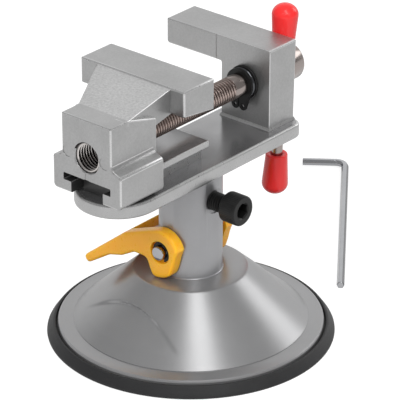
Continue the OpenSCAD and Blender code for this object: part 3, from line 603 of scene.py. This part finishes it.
def makeClampScrew():
    c = clampScrew
    r = c["headR"] / 1000
    head = bmesh.new()
    bmesh.ops.create_cone(head, cap_ends=True, segments=c["knurls"] * 4, radius1=r, radius2=r,
                          depth=c["headH"] / 1000)
    bmesh.ops.translate(head, vec=mm(0, 0, c["headH"] / 2 - c["headY"]), verts=head.verts)
    roundEdges(head, 0.7, 3, lambda e: e.calc_face_angle(0) > 1)
    for vert in head.verts:
        # straight knurl round the side of the head
        if math.hypot(vert.co.x, vert.co.y) * 1000 > c["headR"] - 0.05:
            a = math.atan2(vert.co.y, vert.co.x)
            vert.co.xy *= 1 - c["knurlShare"] * (0.5 + 0.5 * math.cos(a * c["knurls"]))
    for face in head.faces:
        face.smooth = abs(face.normal.z) < 0.98
    piece = meshObject(head, "clampHead")
    r, under = c["hexAf"] / math.sqrt(3) / 1000, -c["headY"]
    top, tool = under + c["headH"], 20
    socket = bmesh.new()
    bmesh.ops.create_cone(socket, cap_ends=True, segments=6, radius1=r, radius2=r, depth=tool / 1000)
    bmesh.ops.translate(socket, vec=mm(0, 0, top - c["hexDepth"] + tool / 2), verts=socket.verts)
    mouth = spunProfile([(0, top - 0.5), (3.2, top - 0.5), (3.9, top + 0.2), (0, top + 0.2)], steps=48)
    cut(piece, [socket, mouth])
    shank = threadTube(c["threadR"], c["threadDepth"], c["pitch"], under - c["threadLen"], under + 0.4)
    bmesh.ops.rotate(shank, cent=(0, 0, 0), matrix=Matrix.Rotation(math.radians(-90), 3, "Y"), verts=shank.verts)
    r, tip = c["dogR"], -c["tipY"]
    point = spunProfile([(0, tip), (r - 0.4, tip), (r, tip + 0.4), (r, tip + 4), (0, tip + 4)], steps=40)
    whole = joined(meshOf(piece), shank, point)
    placeAlong(whole, (0, 0, c["z"]), "-Y")
    finished(meshObject(whole, "clampScrew"), [blackOxide], "clamp", ["clamp_screw"])


makeClampScrew()
print("clamp screw built")


# plate, T-shaped rail and fixed jaw, cast in one
body = {"plateZ": 76.9, "topZ": 83.1, "halfW": 18.0, "front": 62.4, "back": 52.4, "railHalf": 12.4, "webHalf": 8.3,
        "railTop": 92.4, "railT": 2.9, "railFront": -56.0, "railBack": -3.0, "face": 34.8, "jawTop": 119.2,
        "armH": 11.4, "nearY": -13.0, "farY": 43.0, "postFar": 13.0, "screwZ": 102.2, "screwBore": 5.06,
        "cornerR": 5.5, "draft": 0.033, "footSpread": 0.9, "stepY": 15.9, "spigotR": 6.02, "spigotDepth": 5.1}


def makeViseBody():
    b = body
    mid = b["halfW"] - b["front"]
    outline = arc(b["halfW"], [90 + 180 * k / 48 for k in range(49)], mid)
    outline += roundedCorners([(mid, -b["halfW"], 0), (b["back"], -b["halfW"], b["cornerR"]),
                               (b["back"], b["halfW"], b["cornerR"]), (mid, b["halfW"], 0)])[1:-1]
    plate = extrudedOutline(outline, "XY", b["plateZ"], b["topZ"])
    for face in plate.faces:
        face.smooth = abs(face.normal.z) < 0.5
    roundEdges(plate, 1.1, 4, lambda e: e.calc_face_angle(0) > 1)
    piece = meshObject(plate, "viseBody")
    web, half, top, low = b["webHalf"], b["railHalf"], b["railTop"], b["railTop"] - b["railT"]
    rail = extrudedOutline([(-web, b["topZ"] - 1), (web, b["topZ"] - 1), (web, low), (half, low), (half, top),
                            (-half, top), (-half, low), (-web, low)], "YZ", b["railFront"], b["railBack"])
    roundEdges(rail, 0.35, 2,
               lambda e: min(v.co.z for v in e.verts) > (low - 0.1) / 1000 and e.calc_face_angle(0) > 1)
    post = extrudedOutline(roundedCorners([
        (b["nearY"], b["topZ"] - 1, 0), (b["nearY"], b["jawTop"], 0.9), (b["farY"], b["jawTop"], 0.9),
        (b["farY"], b["jawTop"] - b["armH"], 1.5), (b["postFar"], b["jawTop"] - b["armH"], 0.8),
        (b["postFar"], b["topZ"] - 1, 0)]), "YZ", b["face"], b["back"])
    for vert in post.verts:
        # the back leans forward a little towards the plate, as the mould's draft leaves it
        if vert.co.x > (b["back"] - 0.1) / 1000:
            vert.co.x -= max(0, b["jawTop"] / 1000 - vert.co.z) * b["draft"]
    plateTop = (b["topZ"] + 0.9) / 1000
    roundEdges(post, 0.6, 3, lambda e: e.calc_face_angle(0) > 0.9 and max(v.co.z for v in e.verts) > plateTop)
    # a small sloped foot where the post meets the plate
    spread = b["footSpread"]
    foot = extrudedOutline(box(b["face"] - spread, b["back"] - 0.3, b["nearY"] - spread, b["postFar"] + spread),
                           "XY", b["topZ"] - 1, b["topZ"] + 1.1)
    for vert in foot.verts:
        if vert.co.z > b["topZ"] / 1000:
            vert.co.x += spread / 1000 if vert.co.x < b["face"] / 1000 else -spread / 1000
            vert.co.y += spread / 1000 if vert.co.y < 0 else -spread / 1000
    cut(piece, [rail, post, foot], "UNION")
    r, face = b["screwBore"], b["face"]
    bore = spunProfile([(0, face - 3), (r + 0.5, face - 3), (r + 0.5, face + 0.05), (r, face + 0.5), (r, 60),
                        (0, 60)], steps=64, centre=(0, 0, b["screwZ"]), axis="X")
    stub = spunProfile(disc(b["spigotR"], 70, b["plateZ"] + b["spigotDepth"]), steps=64)
    # the lower part of the jaw's face is left a hair behind the ground part
    step = extrudedOutline(box(b["nearY"] - 2, b["stepY"], b["topZ"] + 1.2, b["jawTop"] + 1),
                           "YZ", face - 2, face + 0.2)
    cut(piece, [bore, stub, step])
    mesh = piece.data
    # 0 blasted, 1 ground, 2 lighter grey of painted light below the rail's top, 3 painted edge highlights, 4
    # painted shade on the rail's front end
    for face in mesh.polygons:
        z = face.center.z * 1000
        ground = face.normal.z > 0.99 and (abs(z - b["topZ"]) < 0.1 or abs(z - b["railTop"]) < 0.1)
        # painted light: the faces below the rail's top take the lighter grey
        side = z < b["railTop"] + 0.1 and abs(face.center.y) < (b["halfW"] + 0.5) / 1000
        # painted shade: the rail's front end takes the dark grey
        end = face.normal.x < -0.5 and z > b["topZ"] and face.center.x * 1000 < b["railFront"] + 1
        face.material_index = 1 if ground else 4 if end else 2 if side else 0
    # painted highlight on the bevels' narrow strips
    paintEdgeHighlights(mesh, 3, (0, 2))
    finished(piece, [blastedAluminium, groundAluminium, litPlateSide, paintedEdgeHighlight, slotShade], "head",
             ["vise_body"])


makeViseBody()
print("vise body built")


# nut block, web and jaw bar, cast in one; the slot below rides on the rail
jaw = {"front": -63.1, "face": -0.3, "barX": -19.1, "blockBack": -35.9, "stripBack": -52.7, "half": 13.1,
       "top": 119.2, "webTop": 118.7, "fall": 4.5, "armH": 11.4, "lip": 2.4, "nearY": -13.0, "farY": 43.0,
       "skirtZ": 84.5, "skirtHalf": 18.1, "skirtH": 14.3, "slopeH": 4.0, "webNear": -5.5, "webFar": 34.6,
       "slotTop": 92.55, "slotLow": 89.35, "slotLip": 8.45, "slotWide": 12.55, "screwZ": 102.2, "threadR": 5.1,
       "mouthR": 6.4, "pitch": 1.5, "recessR": 12.5, "recessX": -4.4, "wayR": 5.8, "filletR": 2.6, "webEdge": 1.7,
       "threadDepth": 0.75, "mouthDepth": 0.95, "mouthLen": 13, "markZ": 102.6, "marksY": (10.1, -9.4),
       "markR": 2.5, "markDepth": 0.22}


def makeJaw():
    j = jaw
    low = j["top"] - j["armH"]
    block = extrudedOutline([(j["front"], j["skirtZ"] + 1), (j["blockBack"], j["skirtZ"] + 1),
                             (j["blockBack"], j["webTop"] - j["fall"]), (j["stripBack"], j["webTop"]),
                             (j["front"], j["webTop"])], "XZ", -j["half"], j["half"])
    roundEdges(block, 0.6, 3, lambda e: e.calc_face_angle(0) > 0.9)
    piece = meshObject(block, "movableJaw")
    skirtTop = j["skirtZ"] + j["skirtH"]
    bend, end = skirtTop + j["slopeH"] / 2, skirtTop + j["slopeH"] + 1
    skirt = extrudedOutline(roundedCorners([
        (-j["skirtHalf"], j["skirtZ"], 2), (j["skirtHalf"], j["skirtZ"], 2), (j["skirtHalf"], skirtTop, 1.5),
        (j["half"], bend, j["filletR"]), (j["half"] - 0.03, end, 0), (0.03 - j["half"], end, 0),
        (-j["half"], bend, j["filletR"]), (-j["skirtHalf"], skirtTop, 1.5)]),
        "YZ", j["front"], j["blockBack"] - 1.5)
    for face in skirt.faces:
        face.smooth = abs(face.normal.x) < 0.9
    roundEdges(skirt, 0.6, 3, acrossX)
    start, half, end = j["stripBack"], j["half"], j["barX"] + 1
    web = extrudedOutline([(start - 2, -half), (start, -half), (end, j["webNear"]), (end, j["webFar"]),
                           (start, half), (start - 2, half)], "XY", low, j["webTop"])
    roundEdges(web, j["webEdge"], 5, lambda e: all(v.co.z > (j["webTop"] - 0.1) / 1000 for v in e.verts)
               and abs(e.verts[0].co.x - e.verts[1].co.x) > 0.02)
    bar = extrudedOutline([(j["barX"], low), (j["face"], low - j["lip"]), (j["face"], j["top"]),
                           (j["barX"], j["top"])], "XZ", j["nearY"], j["farY"])
    roundEdges(bar, 0.8, 3, lambda e: e.calc_face_angle(0) > 0.9)
    cut(piece, [skirt, web, bar], "UNION")
    # the nut's thread, and the wider one that shows in its mouth
    inner = j["front"] + j["mouthLen"]
    thread = threadTube(j["threadR"], j["threadDepth"], j["pitch"], inner, j["blockBack"] + 1)
    wider = threadTube(j["mouthR"], j["mouthDepth"], j["pitch"], j["front"] - 1, inner + 0.5, steps=72)
    for bm in (thread, wider):
        bmesh.ops.translate(bm, vec=mm(0, 0, j["screwZ"]), verts=bm.verts)
    front, r = j["front"], j["mouthR"]
    mouth = spunProfile([(0, front - 2), (r + 0.4, front - 2), (r + 0.4, front), (r - 0.4, front + 1),
                         (0, front + 1)], steps=64, centre=(0, 0, j["screwZ"]), axis="X")
    way = spunProfile([(0, j["blockBack"]), (j["wayR"], j["blockBack"]), (j["wayR"], j["recessX"]),
                       (j["recessR"], j["recessX"]), (j["recessR"], 3), (0, 3)], steps=64,
                      centre=(0, 0, j["screwZ"]), axis="X")
    lip, wide, shelf, roof = j["slotLip"], j["slotWide"], j["slotLow"], j["slotTop"]
    slot = extrudedOutline(roundedCorners([
        (-lip, j["skirtZ"] - 1, 0), (lip, j["skirtZ"] - 1, 0), (lip, shelf, 0.3), (wide, shelf, 0.4),
        (wide, roof, 0.4), (-wide, roof, 0.4), (-wide, shelf, 0.4), (-lip, shelf, 0.3)], 3),
        "YZ", front - 1, j["blockBack"] + 1)
    # two round marks of the mould's ejector pins, and a burr's slit under the hole
    deep = front + j["markDepth"]
    marks = [spunProfile([(0, front - 1), (j["markR"] + 0.3, front - 1), (j["markR"], deep), (0, deep)],
                         steps=40, centre=(0, y, j["markZ"]), axis="X") for y in j["marksY"]]
    slit = extrudedOutline([(-1.2, 92), (1.2, 92), (0.8, 96.2), (-0.8, 96.2)], "YZ", front - 1, front + 0.3)
    cut(piece, [way, mouth, thread, wider, slot, slit] + marks)
    mesh = piece.data
    # 0 blasted, 1 rough skin of the web, lighter for painted light, 2 tapped hole with painted shade in its roots,
    # 3 painted highlights on edges and the web's rounded slopes, 4 painted shade in the slot
    for face in mesh.polygons:
        x, y, z = face.center * 1000
        onWeb = j["stripBack"] + 0.3 < x < j["barX"] + 0.3 and 110 < z < j["webTop"] + 0.1
        rough = onWeb and face.normal.z > 0.97
        # painted highlight: the web's rounded slopes take the lighter edge grey
        rounded = onWeb and 0.1 < face.normal.z <= 0.97
        hole = math.hypot(y, z - j["screwZ"]) < r + 0.05 and front + 0.05 < x < j["blockBack"] - 0.1
        inSlot = abs(y) < wide + 0.1 and z < roof + 0.1 and x > front + 0.1 and face.normal.x > -0.5
        face.material_index = 1 if rough else 2 if hole else 3 if rounded else 4 if inSlot else 0
    # painted highlight on the bevels' narrow strips
    paintEdgeHighlights(mesh, 3, (0, 4))
    finished(piece, [blastedAluminium, litCastSkin, holeRootShade, paintedEdgeHighlight, slotShade], "jaw",
             ["movable_jaw"])


makeJaw()
print("movable jaw built")


# lead screw with its turned head
screw = {"z": 102.2, "radius": 5.0, "depth": 0.82, "pitch": 1.5, "tip": -48.0, "threadEnd": 24.0, "circlipX": 30.8,
         "circlipT": 1.0, "grooveR": 4.6, "headX": 53.6, "headLen": 11.4, "headR": 8.3, "barX": 59.3, "barR": 2.5,
         "tilt": 3.2}


def makeLeadScrew():
    s = screw
    thread = threadTube(s["radius"], s["depth"], s["pitch"], s["tip"] + 0.8, s["threadEnd"], steps=36)
    x = s["tip"]
    tip = spunProfile([(0, x), (3.9, x), (4.3, x + 1.2), (0, x + 1.2)], steps=64, axis="X")
    r, x, left, right = s["radius"], s["threadEnd"], s["circlipX"] - 0.05, s["circlipX"] + s["circlipT"] + 0.05
    shaft = spunProfile([(0, x - 0.5), (4.2, x - 0.5), (r, x + 0.6), (r, left), (s["grooveR"], left),
                         (s["grooveR"], right), (r, right), (r, s["headX"] + 1), (0, s["headX"] + 1)],
                        steps=64, axis="X")
    sharpen(shaft, 40)
    x, r, n = s["headX"], s["headR"], s["headLen"]
    head = spunProfile([(0, x), (r - 0.5, x), (r, x + 0.5), (r, x + n - 1.3), (r - 0.35, x + n - 0.6),
                        (r - 1.0, x + n - 0.15), (r - 1.8, x + n), (0, x + n)], steps=96, axis="X")
    sharpen(head, 50)
    piece = meshObject(head, "screwHead")
    hole = spunProfile(disc(s["barR"] + 0.06, -20, 20), steps=40)
    tilt = Matrix.Rotation(math.radians(s["tilt"]), 3, "X")
    bmesh.ops.rotate(hole, cent=(0, 0, 0), matrix=tilt, verts=hole.verts)
    bmesh.ops.translate(hole, vec=mm(s["barX"], 0, 0), verts=hole.verts)
    cut(piece, [hole])
    # the thread takes the material with painted shade in its roots
    for face in thread.faces:
        face.material_index = 1
    whole = joined(thread, tip, shaft, meshOf(piece))
    bmesh.ops.translate(whole, vec=mm(0, 0, s["z"]), verts=whole.verts)
    finished(meshObject(whole, "leadScrew"), [nickelPlate, threadRootShade], "screw", ["lead_screw"])


makeLeadScrew()

# a dished and a flat washer in front of the post, and a flat one behind it
washers = {"bore": 5.02, "thick": 1.1, "frontX": 33.6, "frontR": 7.3, "dishedX": 31.9, "rearX": 52.5, "rearR": 7.8}


def flatWasher(radius, x):
    w = washers
    end = x + w["thick"]
    return [(w["bore"], x), (radius - 0.2, x), (radius, x + 0.2), (radius, end - 0.2), (radius - 0.2, end),
            (w["bore"], end)]


def makeWashers():
    w = washers
    x, r = w["dishedX"], w["bore"]
    dish = [(r, x), (5.6, x), (6.3, x + 0.4), (6.8, x + 0.85), (6.8, x + 1.65), (6.0, x + 1.65), (r, x + 0.9)]
    for name, nodeName, profile, material, slotName in (
            ("frontWasher", "front_washer", flatWasher(w["frontR"], w["frontX"]), blackOxide, "black_steel"),
            ("dishedWasher", "dished_washer", dish, darkSteelAndShade, "black_steel"),
            ("rearWasher", "rear_washer", flatWasher(w["rearR"], w["rearX"]), nickelPlate, "plated_steel")):
        bm = spunProfile(profile, 72, (0, 0, screw["z"]), "X", True)
        finished(meshObject(bm, name), [material], "screw", [nodeName])


makeWashers()

# external retaining ring with two drilled lugs that point down
circlip = {"radius": 6.9, "innerR": 4.62, "lugReach": 11.6, "lugR": 2.0, "x": 30.8, "thick": 1.0, "gap": 0.2,
           "holeR": 0.8}


def makeCirclip():
    c = circlip
    lugY = c["lugR"] + 0.05
    lugZ = math.sqrt((c["lugReach"] - c["lugR"]) ** 2 - lugY ** 2)
    lug = arc(c["lugR"], range(-160, 1, 20), lugY, -lugZ)
    outline = [(c["gap"], -c["innerR"]), (c["gap"], -lugZ)] + lug
    outline += arc(c["radius"], range(-40, 221, 8))
    outline += [(-y, z) for y, z in reversed(lug)]
    outline += [(-c["gap"], -lugZ), (-c["gap"], -c["innerR"])]
    outline += arc(c["innerR"], range(262, -83, -8))
    outline = [(y, z + screw["z"]) for y, z in outline]
    x = c["x"]
    piece = meshObject(extrudedOutline(outline, "YZ", x, x + c["thick"], bevel=0.12, segments=2), "circlip")
    holes = [spunProfile(disc(c["holeR"], x - 1, x + 2), 24, (0, y, screw["z"] - lugZ), "X") for y in (-lugY, lugY)]
    cut(piece, holes)
    finished(piece, [blackOxide], "screw", ["screw_circlip"])


makeCirclip()

# the bar slides in the screw's head, with a dipped cap on each end
tommyBar = {"up": 27.6, "down": 61.7, "capLen": 19.0, "capR": 5.7, "neckR": 4.75, "radius": 2.5, "inCap": 3.2,
            "capBore": 2.53, "capEnd": 2.9, "domeShare": 0.85}


def makeTommyBar():
    t, s = tommyBar, screw
    tilt = Matrix.Translation(mm(s["barX"], 0, s["z"])) @ Matrix.Rotation(math.radians(s["tilt"]), 4, "X")
    r, low, high = t["radius"], t["inCap"] - t["down"], t["up"] - t["inCap"]
    rod = spunProfile([(0, low), (r - 0.3, low), (r, low + 0.3), (r, high - 0.3), (r - 0.3, high), (0, high)],
                      steps=48)
    sharpen(rod, 40)
    bmesh.ops.transform(rod, matrix=tilt, verts=rod.verts)
    finished(meshObject(rod, "tommyBar"), [nickelPlate], "bar", ["tommy_bar"])
    r, n, k = t["capR"], t["capLen"], t["neckR"]
    share, bore, end = t["domeShare"], t["capBore"], n - t["capEnd"]
    dome = [(y, n - r * share + z * share) for y, z in arc(r, range(0, 91, 9))]
    shell = [(bore, 0.25), (2.8, 0), (k - 0.5, 0), (k - 0.1, 0.15), (k, 0.5), (k + 0.12, 2.5)] + dome[:-1]
    shell += [(0, n), (0, end), (bore, end)]
    upper = Matrix.Translation(mm(0, 0, t["up"] - n))
    lower = Matrix.Translation(mm(0, 0, n - t["down"])) @ Matrix.Rotation(math.pi, 4, "X")
    for name, nodeName, seat in (("capUpper", "upper_cap", upper), ("capLower", "lower_cap", lower)):
        bm = spunProfile(shell, steps=72, close=True)
        sharpen(bm, 60)
        bmesh.ops.transform(bm, matrix=tilt @ seat, verts=bm.verts)
        finished(meshObject(bm, name), [redDip], "bar", [nodeName])


makeTommyBar()
print("screw and bar built")


# the key lies on the table; "shade" points to the side whose flats get painted shade
hexKey = {"af": 3.0, "long": 123.0, "short": 20.0, "bendR": 4.5, "corner": (167.0, 47.6), "angle": 217.0,
          "shade": (0.8, -0.6, 0)}


def grownFace(bm, face, vec):
    # extrudes the face by vec and gives the new end face
    grown = bmesh.ops.extrude_face_region(bm, geom=[face])
    bmesh.ops.translate(bm, vec=vec, verts=[g for g in grown["geom"] if isinstance(g, bmesh.types.BMVert)])
    return [g for g in grown["geom"] if isinstance(g, bmesh.types.BMFace)][0]


def makeHexKey():
    k = hexKey
    bm = bmesh.new()
    section = bm.faces.new([bm.verts.new(mm(x, -k["short"], z))
                            for x, z in arc(k["af"] / math.sqrt(3), range(0, 360, 60))])
    last = grownFace(bm, section, mm(0, k["short"] - k["bendR"], 0))
    turned = bmesh.ops.spin(bm, geom=[last], cent=mm(k["bendR"], -k["bendR"], 0), axis=(0, 0, 1),
                            angle=-math.pi / 2, steps=12, use_merge=False)
    bm.faces.remove(last)
    last = [g for g in turned["geom_last"] if isinstance(g, bmesh.types.BMFace)][0]
    grownFace(bm, last, mm(k["long"] - k["bendR"], 0, 0))
    if last.is_valid:
        bm.faces.remove(last)
    bmesh.ops.recalc_face_normals(bm, faces=bm.faces)
    roundEdges(bm, 0.22, 2, lambda e: e.calc_face_angle(0) > 0.9)
    turn = Matrix.Translation(mm(*k["corner"], k["af"] / 2)) @ Matrix.Rotation(math.radians(k["angle"]), 4, "Z")
    bmesh.ops.transform(bm, matrix=turn, verts=bm.verts)
    bm.normal_update()
    # painted shade: the flats that face the shade side take the dark steel
    for face in bm.faces:
        face.material_index = 1 if face.normal.z < 0.8 and face.normal.dot(Vector(k["shade"])) > 0 else 0
    finished(meshObject(bm, "hexKey"), [brightSteel, darkSteelAndShade], "base", ["hex_key"])


makeHexKey()

# the hidden turned parts keep their own solids and only take a finish
for nodeName, material in (("cup_plate", turnedSteel), ("lock_nut", turnedSteel), ("pull_rod", turnedSteel),
                           ("return_spring", springSteel), ("swivel_spigot", turnedSteel)):
    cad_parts[nodeName].data.materials.clear()
    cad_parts[nodeName].data.materials.append(material)
print("all pieces built")


# levels of the table and the room; the floor lies 0.3 mm under the ring and reaches 6 m each way
studio = {"floorGrey": 0.42, "seenGlow": 0.72, "mirrorGlow": 0.36, "front": 0.36, "back": 0.92, "zenith": 0.5,
          "wallSide": (0.76, 0.65, 0), "floorZ": -0.3, "floorHalf": 6}


def makeFloor():
    bm = bmesh.new()
    bmesh.ops.create_grid(bm, x_segments=2, y_segments=2, size=studio["floorHalf"])
    bmesh.ops.translate(bm, vec=mm(0, 0, studio["floorZ"]), verts=bm.verts)
    floor = meshObject(bm, "floor")
    material = bpy.data.materials.new("whiteTable")
    material.use_nodes = True
    tree = material.node_tree
    tree.nodes.clear()
    diffuse = node(tree, "ShaderNodeBsdfDiffuse", {"Color": (studio["floorGrey"],) * 3 + (1,)})
    path = node(tree, "ShaderNodeLightPath")
    seen = node(tree, "ShaderNodeMath", {"operation": "MULTIPLY", 1: studio["seenGlow"]},
                {0: path.outputs["Is Camera Ray"]})
    mirrored = node(tree, "ShaderNodeMath", {"operation": "MULTIPLY_ADD", 1: studio["mirrorGlow"]},
                    {0: path.outputs["Is Glossy Ray"], 2: seen.outputs[0]})
    light = node(tree, "ShaderNodeEmission", {"Color": (1, 1, 1, 1)}, {"Strength": mirrored.outputs[0]})
    both = node(tree, "ShaderNodeAddShader", {}, {0: diffuse.outputs[0], 1: light.outputs[0]})
    node(tree, "ShaderNodeOutputMaterial", {}, {"Surface": both.outputs[0]})
    floor.data.materials.append(material)


makeFloor()

# name: place in metres, size in metres, power in watts, seen in mirrors
lamps = {"keyLeft": ((-1.6, -0.6, 1.3), (1.0, 1.0), 30, False),
         "keyRight": ((-0.2, -1.7, 1.2), (1.0, 1.0), 14, False),
         "bandTop": ((-0.53, -0.85, 1.75), (0.6, 1.5), 9.5, True),
         "sideRight": ((1.65, -0.55, 0.9), (0.7, 0.9), 4.5, True)}


def makeLight():
    world = bpy.data.worlds.new("studio")
    scene.world = world
    world.use_nodes = True
    tree = world.node_tree
    tree.nodes.clear()
    sky = node(tree, "ShaderNodeTexCoord")
    # the wall behind the object is light, the room in front of it is darker, and the ceiling lies between
    away = node(tree, "ShaderNodeVectorMath", {"operation": "DOT_PRODUCT", 1: studio["wallSide"]},
                {0: sky.outputs["Generated"]})
    wall = ranged(tree, away.outputs["Value"], 0.3, 0.85, studio["front"], studio["back"])
    wall.interpolation_type = "SMOOTHSTEP"
    parts = node(tree, "ShaderNodeSeparateXYZ", {}, {"Vector": sky.outputs["Generated"]})
    height = ranged(tree, parts.outputs["Z"], 0.75, 1, 0, 1)
    height.interpolation_type = "SMOOTHSTEP"
    level = node(tree, "ShaderNodeMix", {"B": studio["zenith"]},
                 {"Factor": height.outputs[0], "A": wall.outputs[0]})
    glow = node(tree, "ShaderNodeBackground", {"Color": (1, 1, 1, 1)}, {"Strength": level.outputs[0]})
    node(tree, "ShaderNodeOutputWorld", {}, {"Surface": glow.outputs[0]})
    for name, (spot, size, power, mirrored) in lamps.items():
        lamp = bpy.data.lights.new(name, "AREA")
        lamp.shape = "RECTANGLE"
        lamp.size, lamp.size_y = size
        lamp.energy = power
        holder = bpy.data.objects.new(name, lamp)
        scene.collection.objects.link(holder)
        holder.location = spot
        holder.rotation_euler = (Vector((0, 0, 0.06)) - Vector(spot)).to_track_quat("-Z", "Y").to_euler()
        holder.visible_glossy = mirrored


makeLight()

# where the camera stands in millimetres, its axes, and its lens on a 36 mm sensor
camera = {"place": (-846.28, -726.15, 613.25), "back": (-0.68188813, -0.581038, 0.44432356),
          "right": (0.64857663, -0.76114936, 0), "up": (0.33819659, 0.28817788, 0.89586638), "lens": 270.4}


def makeCamera():
    data = bpy.data.cameras.new("camera")
    data.lens = camera["lens"]
    data.sensor_width = 36
    data.sensor_fit = "HORIZONTAL"
    data.clip_start, data.clip_end = 0.05, 50
    holder = bpy.data.objects.new("camera", data)
    scene.collection.objects.link(holder)
    turn = Matrix((camera["right"], camera["up"], camera["back"])).transposed()
    holder.matrix_world = Matrix.Translation(mm(*camera["place"])) @ turn.to_4x4()
    scene.camera = holder


makeCamera()
scene.view_settings.view_transform = "Standard"
print("light and camera set")
